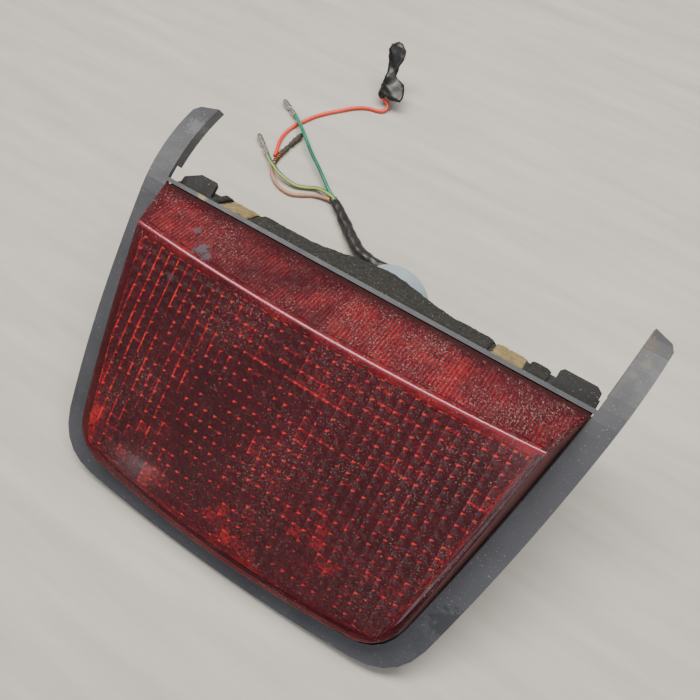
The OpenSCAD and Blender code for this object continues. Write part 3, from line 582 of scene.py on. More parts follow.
@dataclass(frozen=True)
class LensSkin:
    """PMMA, injection moulded red: a glossy face, clear into the optics, under scratches and road dust.

    The skin is thin paint to the eye: clear is how much of the optics it hides where it is clean, and dust,
    scuffs, crease and grime hide more. The crease line is a lighter pinkish red, partly the thick plastic
    there and partly a painted highlight. The grit is 0.2 mm in life and is drawn at 0.75 mm to show. The
    crease is a bowed line on the lamp, in mm.
    """

    name: str = "moulded_red_acrylic"
    red: str = "#681324"
    deep: str = "#4b0a18"
    dust: str = "#7a564c"
    grit: str = "#b09a8c"
    scuff: str = "#4c545a"
    # pinkish line along the crease: the thick plastic's colour with a painted highlight in it
    crease: str = "#7e2234"
    soil: str = "#2a1215"
    clear: float = 0.27
    crease_y: float = -27.8
    crease_bow: float = 3.8
    crease_half: float = 114.0
    crease_width: float = 0.9
    cloud_mm: float = 26.0
    grit_mm: float = 0.75
    wiped_mm: float = 30.0
    haze_mm: float = 6.0
    grime_mm: float = 1.4
    scratch_mm: float = 1.1
    scuffs: tuple[Spot, ...] = (
        Spot(-74, -21, 3.4, "#4c545a", 0.85), Spot(-69, -23, 2.4, "#4c545a", 0.8),
        Spot(-84, -14, 2, "#4c545a", 0.7), Spot(-80, -40, 2, "#4c545a", 0.5))

    def build(self, lamp: LampFrame) -> bpy.types.Material:
        """Builds the material.

        Args:
            lamp: The lamp's frame, which the dust and the scuffs are placed in.

        Returns:
            The material.
        """
        material, tree, shader = blank_material(self.name)
        where = lamp.coordinates(tree)
        above = self.above_crease(tree, where)
        cloud = add(tree, "ShaderNodeTexNoise", {
            "Vector": where, "Scale": per_mm(self.cloud_mm), "Detail": 3.0})
        tone = add(tree, "ShaderNodeValToRGB", {"Fac": cloud.outputs[0]},
                   stops=((0.3, self.deep), (0.7, self.red)))
        dust = self.dust_mask(tree, where, above)
        scuffs = self.scuff_mask(tree, where)
        # the crease line: lighter pinkish colour, partly a painted highlight, and nearly opaque so the
        # crease's reflection stays strong
        crease = add(tree, "ShaderNodeMath", {
            0: above, 1: 0.0, 2: self.crease_width * MM}, operation="COMPARE").outputs[0]
        grime = self.rail_grime(tree, where)
        coarse = add(tree, "ShaderNodeMapRange", {"Value": dust, "From Min": 0.32, "From Max": 0.55})
        powder = add(tree, "ShaderNodeMixRGB", {
            "Fac": coarse.outputs[0], "Color1": self.dust, "Color2": self.grit})
        colour, covered = tone.outputs[0], dust
        for mask, over in ((dust, powder.outputs[0]), (scuffs, self.scuff), (crease, self.crease),
                           (grime, self.soil)):
            colour = add(tree, "ShaderNodeMixRGB", {
                "Fac": mask, "Color1": colour, "Color2": over}).outputs[0]
        tree.links.new(colour, shader.inputs["Base Color"])
        for mask in (scuffs, crease, grime):
            covered = add(tree, "ShaderNodeMath", {0: covered, 1: mask}, operation="MAXIMUM").outputs[0]
        film = add(tree, "ShaderNodeMapRange", {
            "Value": above, "From Min": -9 * MM, "From Max": 4 * MM, "To Min": self.clear,
            "To Max": self.clear + 0.12}).outputs[0]
        alpha = add(tree, "ShaderNodeMapRange", {"Value": covered, "To Min": film, "To Max": 0.9})
        tree.links.new(alpha.outputs[0], shader.inputs["Alpha"])
        worn = add(tree, "ShaderNodeMath", {0: dust, 1: grime}, operation="MAXIMUM").outputs[0]
        rough = add(tree, "ShaderNodeMapRange", {"Value": worn, "To Min": 0.14, "To Max": 0.7})
        tree.links.new(rough.outputs[0], shader.inputs["Roughness"])
        gloss = add(tree, "ShaderNodeMapRange", {
            "Value": grime, "From Max": 0.15, "To Min": 0.72, "To Max": 0.08})
        tree.links.new(gloss.outputs[0], shader.inputs["Specular IOR Level"])
        scratch = add(tree, "ShaderNodeTexNoise", {
            "Vector": where, "Scale": per_mm(self.scratch_mm), "Detail": 4.0})
        bump = add(tree, "ShaderNodeBump", {
            "Height": scratch.outputs[0], "Distance": 0.03 * MM, "Strength": 0.5})
        tree.links.new(bump.outputs[0], shader.inputs["Normal"])
        shader.inputs["IOR"].default_value = ACRYLIC_IOR
        return material

    def above_crease(self, tree: bpy.types.NodeTree, where: Socket) -> Socket:
        """Measures the distance above the crease.

        Args:
            tree: The material's tree.
            where: The lamp's coordinates.

        Returns:
            The distance in metres, which is negative on the main face.
        """
        parts = add(tree, "ShaderNodeSeparateXYZ", {0: where})
        across = add(tree, "ShaderNodeMath", {
            0: parts.outputs[0], 1: 1 / (self.crease_half * MM)}, operation="MULTIPLY")
        squared = add(tree, "ShaderNodeMath", {0: across.outputs[0], 1: 2.0}, operation="POWER")
        line = add(tree, "ShaderNodeMath", {
            0: squared.outputs[0], 1: -self.crease_bow * MM, 2: parts.outputs[1]}, operation="MULTIPLY_ADD")
        above = add(tree, "ShaderNodeMath", {0: line.outputs[0], 1: -self.crease_y * MM}, operation="ADD")
        return above.outputs[0]

    def rail_grime(self, tree: bpy.types.NodeTree, where: Socket) -> Socket:
        """Masks the wet grime that lies along the rail, broken into dots.

        Args:
            tree: The material's tree.
            where: The lamp's coordinates.

        Returns:
            The mask.
        """
        parts = add(tree, "ShaderNodeSeparateXYZ", {0: where})
        dots = add(tree, "ShaderNodeTexNoise", {
            "Vector": where, "Scale": per_mm(self.grime_mm), "Detail": 3.0})
        edge = add(tree, "ShaderNodeMath", {
            0: dots.outputs[0], 1: 6 * MM, 2: parts.outputs[1]}, operation="MULTIPLY_ADD")
        mask = add(tree, "ShaderNodeMapRange", {
            "Value": edge.outputs[0], "From Min": -0.6 * MM, "From Max": 1.2 * MM, "To Max": 0.85})
        return mask.outputs[0]

    def dust_mask(self, tree: bpy.types.NodeTree, where: Socket, above: Socket) -> Socket:
        """Masks the road dust: fine specks and a haze, thin where the face was wiped, thick on the band.

        Args:
            tree: The material's tree.
            where: The lamp's coordinates.
            above: The distance above the crease.

        Returns:
            The mask.
        """
        dots = add(tree, "ShaderNodeTexNoise", {
            "Vector": where, "Scale": per_mm(self.grit_mm), "Detail": 3.0, "Roughness": 0.75})
        cloud = add(tree, "ShaderNodeTexNoise", {
            "Vector": where, "Scale": per_mm(self.wiped_mm), "Detail": 6.0, "Roughness": 0.65})
        edge = add(tree, "ShaderNodeMapRange", {
            "Value": cloud.outputs[0], "From Min": 0.36, "From Max": 0.64, "To Min": 0.64,
            "To Max": 0.565})
        band = add(tree, "ShaderNodeMapRange", {
            "Value": above, "From Min": -2 * MM, "From Max": 5 * MM, "To Min": 0.0, "To Max": 0.015})
        edge = add(tree, "ShaderNodeMath", {0: edge.outputs[0], 1: band.outputs[0]}, operation="SUBTRACT")
        over = add(tree, "ShaderNodeMath", {0: dots.outputs[0], 1: edge.outputs[0]}, operation="SUBTRACT")
        specks = add(tree, "ShaderNodeMapRange", {
            "Value": over.outputs[0], "From Min": 0.0, "From Max": 0.05, "To Max": 0.62})
        haze = add(tree, "ShaderNodeTexNoise", {
            "Vector": where, "Scale": per_mm(self.haze_mm), "Detail": 9.0, "Roughness": 0.8})
        thick = add(tree, "ShaderNodeMapRange", {
            "Value": above, "From Min": -2 * MM, "From Max": 5 * MM, "To Min": 0.1, "To Max": 0.3})
        film = add(tree, "ShaderNodeMapRange", {
            "Value": haze.outputs[0], "From Min": 0.42, "From Max": 0.72, "To Max": thick.outputs[0]})
        mask = add(tree, "ShaderNodeMath", {0: specks.outputs[0], 1: film.outputs[0]}, operation="MAXIMUM")
        return mask.outputs[0]

    def scuff_mask(self, tree: bpy.types.NodeTree, where: Socket) -> Socket:
        """Masks the grey scuffs round the left end of the crease.

        Args:
            tree: The material's tree.
            where: The lamp's coordinates.

        Returns:
            The mask.
        """
        mask = patch(tree, where, self.scuffs[0])
        for spot in self.scuffs[1:]:
            more = patch(tree, where, spot)
            mask = add(tree, "ShaderNodeMath", {0: mask, 1: more}, operation="MAXIMUM").outputs[0]
        return mask


# PMMA, moulded: the lens's wall and foot, scoured dull and caked with brown road dirt
LENS_WALL = Finish(
    "scoured_red_acrylic", "#5c2a2c", "#6d3a38", "#8a6a5c", dirt_share=0.42, mottle_mm=14, dirt_mm=4,
    speck="#9c8070", speck_share=0.2, speck_mm=0.8, roughness=0.5, ior=ACRYLIC_IOR, alpha=0.95,
    stretch=(1, 1, 8))
# PMMA, polished by its mould on the inside: it only tints what is behind it
LENS_BACK = Finish(
    "polished_acrylic_back", "#7a0f1c", "#5c0b16", "#3f0a12", roughness=0.2, alpha=0.05, mottle_mm=20,
    grain_mm=5, grain_depth_mm=0.01, ior=ACRYLIC_IOR)


@dataclass(frozen=True)
class LensOptics:
    """PMMA, moulded into flutes and prisms on its inner side: facets are painted dark or with a red glint,
    one by one.

    The level of each facet is its painted light value, from painted shade at 0 to a full painted red glint
    at 1. Clouds, flecks and wide shade then swing it.
    """

    name: str = "red_prisms_painted_glints"
    cloud_mm: float = 9.0
    fleck_mm: float = 1.5
    shade_mm: float = 40.0
    mist_mm: float = 0.9
    swing: float = 0.9
    # colours from painted shade, through the red body, to a painted red glint
    stops: tuple[tuple[float, str], ...] = (
        (0.0, "#0f0508"), (0.3, "#390d16"), (0.62, "#a81a20"), (1.0, "#ff4032"))

    def build(self, lamp: LampFrame) -> bpy.types.Material:
        """Builds the material.

        Args:
            lamp: The lamp's frame, which the tint's clouds are placed in.

        Returns:
            The material.
        """
        material, tree, shader = blank_material(self.name)
        where = lamp.coordinates(tree)
        # each facet's painted light level, which the lens's mesh carries
        painted_light = add(tree, "ShaderNodeAttribute", attribute_name="painted_light")
        cloud = add(tree, "ShaderNodeTexNoise", {
            "Vector": where, "Scale": per_mm(self.cloud_mm), "Detail": 4.0})
        fleck = add(tree, "ShaderNodeTexNoise", {
            "Vector": where, "Scale": per_mm(self.fleck_mm), "Detail": 4.0, "Roughness": 0.7})
        shade = add(tree, "ShaderNodeTexNoise", {
            "Vector": where, "Scale": per_mm(self.shade_mm), "Detail": 2.0})
        both = add(tree, "ShaderNodeMath", {0: cloud.outputs[0], 1: fleck.outputs[0]}, operation="ADD")
        all_three = add(tree, "ShaderNodeMath", {0: both.outputs[0], 1: shade.outputs[0]}, operation="ADD")
        swing = add(tree, "ShaderNodeMath", {
            0: all_three.outputs[0], 1: self.swing, 2: -1.42}, operation="MULTIPLY_ADD")
        level = add(tree, "ShaderNodeMath", {
            0: painted_light.outputs["Fac"], 1: swing.outputs[0]}, operation="ADD", use_clamp=True)
        ramp = add(tree, "ShaderNodeValToRGB", {"Fac": level.outputs[0]}, stops=self.stops)
        tree.links.new(ramp.outputs[0], shader.inputs["Base Color"])
        mist = add(tree, "ShaderNodeTexNoise", {"Vector": where, "Scale": per_mm(self.mist_mm)})
        rough = add(tree, "ShaderNodeMapRange", {"Value": mist.outputs[0], "To Min": 0.2, "To Max": 0.45})
        tree.links.new(rough.outputs[0], shader.inputs["Roughness"])
        shader.inputs["IOR"].default_value = ACRYLIC_IOR
        return material


@dataclass(frozen=True)
class FloorLaminate:
    """A pale laminate floor, printed and sealed: nearly plain, with a faint long grain."""

    name: str = "sealed_pale_laminate"
    low: str = "#ada79e"
    high: str = "#bdb8af"
    grain_mm: float = 14.0
    grain_turn: float = -0.57
    grain_stretch: float = 0.12

    def build(self) -> bpy.types.Material:
        """Builds the material."""
        material, tree, shader = blank_material(self.name)
        place = add(tree, "ShaderNodeTexCoord")
        long = add(tree, "ShaderNodeMapping", {
            "Vector": place.outputs["Object"], "Rotation": (0, 0, self.grain_turn),
            "Scale": (self.grain_stretch, 1, 1)})
        grain = add(tree, "ShaderNodeTexNoise", {
            "Vector": long.outputs[0], "Scale": per_mm(self.grain_mm), "Detail": 5.0, "Roughness": 0.6})
        tone = add(tree, "ShaderNodeValToRGB", {"Fac": grain.outputs[0]},
                   stops=((0.3, self.low), (0.7, self.high)))
        tree.links.new(tone.outputs[0], shader.inputs["Base Color"])
        shader.inputs["Roughness"].default_value = 0.6
        return material


# ---- camera, floor and light ----
@dataclass(frozen=True)
class SoftBox:
    """One soft box: where it hangs and its size in metres, its power in watts and its colour."""

    name: str
    place: tuple[float, float, float]
    width: float
    height: float
    power: float
    colour: str

    def hang(self, target: Point) -> None:
        """Hangs the box so that it points at the target."""
        data = bpy.data.lights.new(self.name, "AREA")
        data.shape = "RECTANGLE"
        data.size = self.width
        data.size_y = self.height
        data.energy = self.power
        data.color = to_linear(self.colour)[:3]
        box = bpy.data.objects.new(self.name, data)
        box.location = self.place
        box.rotation_euler = (Vector(target) - Vector(self.place)).to_track_quat("-Z", "Y").to_euler()
        bpy.context.scene.collection.objects.link(box)


@dataclass
class Studio:
    """The camera that looks down on the lamp's face, a plain floor and soft lamps.

    The camera's place is in mm on the lamp, and its two directions are in the lamp's frame too.
    """

    lamp: LampFrame
    place: tuple[float, float, float] = (96.0, -8.4, 321.6)
    right: tuple[float, float, float] = (0.837, 0.485, -0.253)
    forward: tuple[float, float, float] = (-0.256, -0.060, -0.965)
    focal_mm: float = 36.0
    sensor_mm: float = 36.0
    floor_size: float = 6.0
    lit_spot: tuple[float, float, float] = (0, 0, 0.03)
    boxes: tuple[SoftBox, ...] = (
        SoftBox("window", (-0.15, 0.34, 1.15), 1.7, 0.42, 30.0, "#fffaf2"),
        SoftBox("fill", (0.9, -0.9, 0.9), 1.2, 1.2, 9.0, "#f4f6fb"),
        SoftBox("spark", (-0.595, -1.17, 0.35), 0.03, 0.025, 0.16, "#ffffff"))
    room_colour: str = "#e9ebee"
    room_strength: float = 0.42

    def build(self) -> None:
        """Makes the camera, the floor and the lights."""
        self.camera()
        self.floor()
        for box in self.boxes:
            box.hang(self.lit_spot)
        world = bpy.data.worlds.new("room")
        world.use_nodes = True
        room = world.node_tree.nodes["Background"]
        room.inputs["Color"].default_value = to_linear(self.room_colour)
        room.inputs["Strength"].default_value = self.room_strength
        bpy.context.scene.world = world
        LOG.info("studio is ready")

    def camera(self) -> None:
        """Makes the camera, whose place and turn are given in the lamp's own frame."""
        turn = self.lamp.matrix().to_3x3()
        forward = (turn @ Vector(self.forward)).normalized()
        right = turn @ Vector(self.right)
        right = (right - forward * right.dot(forward)).normalized()
        up = right.cross(forward)
        data = bpy.data.cameras.new("portrait")
        data.lens = self.focal_mm
        data.sensor_width = self.sensor_mm
        camera = bpy.data.objects.new("portrait", data)
        axes = Matrix((right, up, -forward)).transposed().to_4x4()
        camera.matrix_world = Matrix.Translation(self.lamp.to_row(*self.place)) @ axes
        bpy.context.scene.collection.objects.link(camera)
        bpy.context.scene.camera = camera

    def floor(self) -> None:
        """Makes the plain floor."""
        half = self.floor_size / 2
        corners = ((-half, -half, 0), (half, -half, 0), (half, half, 0), (-half, half, 0))
        floor = make_object("floor", [Vector(p) for p in corners], [(0, 1, 2, 3)], smooth=False)
        floor.data.materials.append(FloorLaminate().build())


# ---- leads ----
@dataclass
class Lead:
    """One cord: its node, its route and diameter in mm, its finish, and what is on its far end."""

    node: str
    route: Sequence[Point]
    diameter: float
    finish: Finish | StripedWire
    far_end: FarEnd
    pieces: tuple[str, ...] = ()


@dataclass
class Leads:
    """The sleeved lead out of the bulb cap, its three wires and the patch wire that was joined to one.

    The ways are centrelines in the row frame, in mm. The tape's way also has its width and thickness.
    """

    lamp: LampFrame
    nodes: dict
    seed: int = 7
    wire_mm: float = 2.5
    sleeve_mm: float = 6.6
    strand_mm: float = 0.84
    twist_r: float = 1.45
    twist_turns: int = 5
    twist_steps: int = 14
    sleeve_way: Sequence[Point] = (
        (0, 86.24, 17.25), (0, 89.95, 15.73), (-1.5, 94, 13.8), (-6, 98.5, 11.6), (-13, 101, 9.8),
        (-22, 101.5, 8.2), (-32, 103, 6.6), (-42, 106.5, 5.2), (-52, 113, 4.2), (-62, 121, 3.6),
        (-71, 127.8, 3.4), (-79, 133, 3.4))
    green_way: Sequence[Point] = (
        (-76, 132.5, 2.7), (-78.5, 134, 2.7), (-85.5, 137.5, 3.6), (-91, 141.5, 4.3), (-96.5, 145.5, 4.9),
        (-102, 149.5, 5.3), (-108, 153.5, 5.6), (-113.5, 157.5, 5.8), (-119, 162, 6), (-124, 166, 6.2),
        (-129.5, 170.5, 6.2), (-135, 175, 5.4), (-140, 179, 4), (-145, 182.5, 2.8))
    striped_way: Sequence[Point] = (
        (-76.5, 131.5, 5.2), (-79, 133, 5.2), (-86.2, 134.4, 4.4), (-93.5, 135, 2.6), (-100.5, 132, 1.8),
        (-107, 129.5, 2.4), (-114, 129.5, 3.7), (-121, 131, 4.6), (-127.5, 134, 4.8), (-133.5, 137.5, 3.8),
        (-139.5, 142, 2.4))
    brown_way: Sequence[Point] = (
        (-77.2, 130.1, 2.7), (-79.8, 131.5, 2.7), (-87, 131, 1.9), (-93.5, 129, 1.3), (-99, 125.5, 1.3),
        (-105.5, 122.5, 1.3), (-112.5, 122.5, 1.3), (-119, 124.5, 1.3), (-125, 128.5, 1.3),
        (-129.5, 134, 1.3), (-131.5, 140.5, 1.5), (-131.5, 147.5, 2))
    red_way: Sequence[Point] = (
        (-134.5, 144, 1.3), (-136.5, 149.5, 1.3), (-139, 155.5, 1.3), (-140.5, 162, 1.3),
        (-140.5, 168.5, 1.3), (-139, 175.5, 1.3), (-136, 182, 1.3), (-133, 188.5, 1.3),
        (-129, 194.5, 1.3), (-124.5, 200, 1.3), (-120, 205, 1.3), (-115, 210.5, 1.3),
        (-110, 214.6, 1.3), (-104, 217.6, 1.3), (-98.2, 218.8, 1.3), (-94.2, 221, 1.6),
        (-93.8, 225.4, 2.6), (-97.6, 228, 4.2), (-101.8, 227.4, 6))
    splice_way: tuple[Point, Point] = ((-130.9, 138.0, 1.6), (-131.6, 146.5, 2.2))
    crusted_way: tuple[Point, Point] = ((-131.5, 146, 2.2), (-129.5, 170.5, 2.2))
    tape_way: Sequence[tuple[Point, float, float]] = (
        ((-99.8, 227.6, 5), 2.8, 3.2), ((-101, 229.4, 7), 7, 4.6), ((-99.5, 232, 9.5), 13, 5),
        ((-98.5, 235.5, 12.5), 13, 4.6), ((-100.5, 240, 16.5), 7.5, 3.6), ((-101.5, 245, 20.5), 8.5, 2.8),
        ((-102.5, 249.5, 25), 12, 2.4), ((-104.5, 252.5, 29), 11, 2), ((-106.5, 254, 31.5), 6, 1.6))

    def build(self) -> None:
        """Makes the leads."""
        tape = self.tape()
        splice = self.splice()
        crusted = self.crusted_bullet()
        wires = [
            Lead("wire_green", self.green_way, self.wire_mm, WIRE_GREEN, FarEnd.BULLET, ("bullet_green",)),
            Lead("wire_green_yellow", self.striped_way, self.wire_mm, StripedWire(), FarEnd.BULLET,
                 ("bullet_green_yellow",)),
            Lead("wire_brown", self.brown_way, self.wire_mm, WIRE_BROWN, FarEnd.BULLET),
            Lead("wire_red", self.red_way, self.wire_mm, WIRE_RED, FarEnd.TAPED_JOINT),
        ]
        self.sleeve()
        for wire in wires:
            extra = {"wire_brown": [splice, crusted], "wire_red": [tape]}.get(wire.node, [])
            self.wire(wire, extra)

    def wire(self, lead: Lead, extra: Sequence[bpy.types.Object]) -> None:
        """Makes one insulated wire.

        Args:
            lead: What it is made to.
            extra: Pieces made here that sit on it; not used.
        """
        path = smooth_path(lead.route)
        radius = lead.diameter / 2 * MM
        piece = tube(lead.node + "_insulation", path, lambda share, q: radius)
        settle(piece, lead.finish.build(self.lamp), (lead.node,))

    def sleeve(self) -> None:
        """Makes the creased sleeve, which narrows where the wires come out."""
        lead = Lead("lead_sleeve", self.sleeve_way, self.sleeve_mm, SLEEVING, FarEnd.ITS_WIRES)
        path = smooth_path(lead.route, 10)

        def radius(share: float, q: float) -> float:
            """Returns the sleeve's radius at a share of its length and an angle round it."""
            crease = noise.noise(Vector((share * 22, math.cos(q) * 0.9, math.sin(q) * 0.9)))
            narrow = 1 - 0.3 * max(0.0, share - 0.78) / 0.22
            flat = 1 + 0.26 * math.cos(q) ** 2 * min(1.0, max(0.0, share - 0.3) * 4)
            return lead.diameter / 2 * MM * narrow * flat * (0.94 + 0.2 * crease)

        piece = tube("lead_sleeve_creased", path, radius, 28)
        settle(piece, lead.finish.build(self.lamp), (lead.node,))

    def splice(self) -> bpy.types.Object:
        """Winds the bare strands of the patch wire round the end of the brown one.

        Returns:
            The twist.
        """
        start, end = (Vector(p) for p in self.splice_way)
        run = (end - start).normalized()
        side = run.orthogonal().normalized()
        count = self.twist_turns * self.twist_steps
        radius = self.strand_mm / 2
        path = []
        for i in range(count + 1):
            spin = Matrix.Rotation(2 * math.pi * i / self.twist_steps, 3, run) @ side
            path.append((start.lerp(end, i / count) + spin * self.twist_r) * MM)
        rings = []
        for k, centre in enumerate(path):
            along = (path[min(k + 1, len(path) - 1)] - path[max(k - 1, 0)]).normalized()
            across = along.orthogonal().normalized() if not rings else (
                rings[-1][0] - path[k - 1]).cross(along).cross(along).normalized() * -1
            upright = along.cross(across)
            angles = [2 * math.pi * i / 8 for i in range(8)]
            rings.append([centre + (across * math.cos(a) + upright * math.sin(a)) * radius * MM
                          for a in angles])
        piece = make_object("patch_wire_twist", *wrap_rings(rings))
        settle(piece, COPPER.build(self.lamp))
        return piece

    def crusted_bullet(self) -> bpy.types.Object:
        """Makes the corroded terminal on the brown wire, eaten and crusted all along.

        Returns:
            The terminal.
        """
        start, end = (Vector(p) for p in self.crusted_way)
        steps = 60
        path = [start.lerp(end, i / steps) * MM for i in range(steps + 1)]
        barrel, waist, bullet, thinnest = 1.7, 1.25, 1.85, 0.3

        def radius(share: float, q: float) -> float:
            """Returns the radius: crimped barrel, waist and bullet, under the crust."""
            crust = noise.fractal(Vector((share * 13, math.cos(q) * 1.1, math.sin(q) * 1.1)), 1.0, 2.0, 3)
            shape = barrel if share < 0.36 else waist if share < 0.48 else bullet
            nose = math.sqrt(max(0.02, min(1.0, (1 - share) / 0.08)))
            return max(thinnest, shape * nose * (1 + 0.3 * crust)) * MM

        piece = tube("bullet_brown_crusted", path, radius, 24)
        settle(piece, BULLET_CORRODED.build(self.lamp), ("bullet_brown",))
        return piece

    def tape(self) -> bpy.types.Object:
        """Makes the wad of tape: a neck, a folded lobe and a flag that stands up, creased all over.

        Returns:
            The wad.
        """
        steps, sides, lobe_at, lobe_reach = 5, 28, 11, 7
        centres = smooth_path([p for p, _, _ in self.tape_way], steps)
        sizes = smooth_path([(w, t, 0) for _, w, t in self.tape_way], steps)
        rings = []
        for k, (centre, size) in enumerate(zip(centres, sizes)):
            across, upright = run_frame(centres, k)
            lobe = 1 + 1.3 * max(0.0, 1 - abs(k - lobe_at) / lobe_reach)
            ring = []
            for i in range(sides):
                q = 2 * math.pi * i / sides
                flat = math.copysign(abs(math.cos(q)) ** 0.8, math.cos(q))
                if flat < 0:
                    flat *= lobe
                fold = noise.noise(Vector((k * 0.24, math.cos(q) * 1.5, math.sin(q) * 1.5 + 3)))
                pinch = noise.noise(Vector((k * 0.5, i * 0.45, self.seed)))
                reach = 1 + 0.24 * fold + 0.1 * pinch
                out = across * flat * size[0] / 2 + upright * math.sin(q) * size[1] / 2
                ring.append(centre + out * reach)
            rings.append(ring)
        piece = make_object("insulating_tape_wad", *wrap_rings(rings))
        settle(piece, TAPE_PVC.build(self.lamp), ("insulating_tape",))
        return piece


# ---- lens ----
@dataclass
class Lens:
    """The red lens: a smooth outer skin over a sheet of flutes and prisms. Sizes are in mm on the lamp."""

    lamp: LampFrame
    top_half: float = 120.0
    foot_half: float = 93.0
    side_h: float = 144.0
    side_bulge: float = 1.5
    bottom_bow: float = 5.0
    corner_r: float = 18.0
    crease_h: float = 23.0
    crease_y: float = 27.8
    crease_bow: float = 3.8
    crease_crown: float = 3.0
    foot_edge_h: float = 4.0
    face_bulge: float = 1.6
    draft: float = 0.27
    seat_z: float = -3.2
    face_rows: int = 6
    corner_rows: int = 5
    columns: int = 72
    wall_mm: float = 0.9
    edge_round: float = 1.1
    edge_steps: int = 5
    crease_round: float = 0.065
    prism_mm: float = 5.8
    flute_mm: float = 1.9
    optics_gap: float = 1.7
    sheet_mm: float = 0.5
    prism_deep: float = 1.5
    prism_flat: float = 0.12
    least_facet: float = 0.05
    least_width: float = 0.1
    margin_top: float = 4.2
    margin_foot: float = 9.0
    margin_side: float = 4.6
    flute_deep: float = 0.45
    flute_inset: float = 3.4
    flute_rows: int = 9
    base_inset: float = 3.0
    base_drop: float = 3.6
    base_flash: float = 0.5
    # painted light levels of the four facets across one flute, brightest either side of its crest
    flute_painted_lights: tuple[float, ...] = (0.16, 0.42, 0.54, 0.3)
    bead_r: float = 0.7
    seed: int = 11
    cuts: tuple[float, ...] = (0.0, 0.12, 0.36, 0.62, 0.87)
    down_cuts: tuple[float, ...] = (0.0, 0.2, 0.4, 0.62, 0.87)

    @property
    def turn_row(self) -> int:
        """Returns the number of the row where the bottom corners begin."""
        return 1 + self.face_rows

    @property
    def last_row(self) -> int:
        """Returns the number of the row along the bottom edge."""
        return self.turn_row + self.corner_rows

    def half_w(self, y: float) -> float:
        """Returns the half width of the lens's foot at a height."""
        s = -y / self.side_h
        return self.top_half + (self.foot_half - self.top_half) * s + self.side_bulge * 4 * s * (1 - s)

    def row_y(self, row: float, grow: float) -> float:
        """Returns the height of a row at the middle of the lens."""
        depth = self.side_h + self.bottom_bow - self.crease_y
        if row <= self.turn_row:
            share = (row - 1) / self.face_rows * (1 - self.corner_r / (self.side_h - self.crease_y))
            return -self.crease_y - depth * share
        start = self.row_y(self.turn_row, grow)
        return start + (-self.side_h - self.bottom_bow - grow - start) * math.sin(
            math.pi / 2 * (row - self.turn_row) / self.corner_rows)

    def row_shape(self, row: float, grow: float) -> tuple[float, float, float]:
        """Works out the outline at a row from the crease down.

        Args:
            row: The row.
            grow: How far the outline is moved out.

        Returns:
            The height at the row's middle, its bow and its half width.
        """
        bow = self.crease_bow + (self.bottom_bow - self.crease_bow) * (row - 1) / (self.last_row - 1)
        y = self.row_y(row, grow)
        half = self.half_w(y + bow) + grow
        if row > self.turn_row:
            half -= self.corner_r * (1 - math.cos(math.pi / 2 * (row - self.turn_row) / self.corner_rows))
        return y, bow, half

    def rise(self, u: float, fall: float) -> float:
        """Returns how far the face stands out at a share across it and a share of the way down it."""
        crest = self.crease_h - self.crease_crown * u * u
        return crest + (self.foot_edge_h - crest) * fall + self.face_bulge * 4 * fall * (1 - fall)

    def sharp_point(self, row: float, u: float, inset: float, drop: float) -> Vector:
        """Returns a point of the outer face before its crease is rounded, in mm on the lamp.

        Args:
            row: The row, 0 on the top edge and 1 on the crease.
            u: The share across the lens, from -1 to 1.
            inset: How far the edge is moved in.
            drop: How far the face is lowered.

        Returns:
            The point.
        """
        if row < 1:
            height = 1.0
            grow = -self.draft * height - inset
            top = Vector(((self.half_w(0) + grow) * u, grow, height - drop))
            return top.lerp(self.sharp_point(1, u, inset, drop), row)
        fall = (self.row_y(1, 0) - self.row_y(row, 0)) / (self.row_y(1, 0) - self.row_y(self.last_row, 0))
        height = self.rise(u, fall)
        y, bow, half = self.row_shape(row, -self.draft * height - inset)
        return Vector((half * u, y + bow * u * u, height - drop))

    def face_point(self, row: float, u: float, inset: float, drop: float) -> Vector:
        """Returns a point of the outer face with its crease rounded, from what sharp_point takes."""
        low, high = self.crease_rows()
        if not low < row < high:
            return self.sharp_point(row, u, inset, drop)
        s = (row - low) / (high - low)
        a, b, c = (self.sharp_point(r, u, inset, drop) for r in (low, 1, high))
        return a * (1 - s) ** 2 + b * 2 * s * (1 - s) + c * s * s

    def crease_rows(self) -> tuple[float, float]:
        """Returns the rows between which the crease is rounded."""
        return 1 - 0.6 * self.crease_round, 1 + 1.25 * self.crease_round

    def stations(self) -> list[float]:
        """Returns the rows of the skin, close together over the crease."""
        low, high = self.crease_rows()
        rows = [0.0]
        for start, end, steps in ((0.0, low, 6), (low, high, 9), (high, self.turn_row, 22),
                                  (self.turn_row, self.last_row, 12)):
            rows += [start + (end - start) * i / steps for i in range(1, steps + 1)]
        return rows

    def build(self) -> None:
        """Makes the skin, the three sheets of optics behind it and the dark bead round its foot that stands
        in for the shadow in the gap.
        """
        self.skin()
        self.prisms()
        self.flutes()
        self.base()
        self.shadow_gap_line()

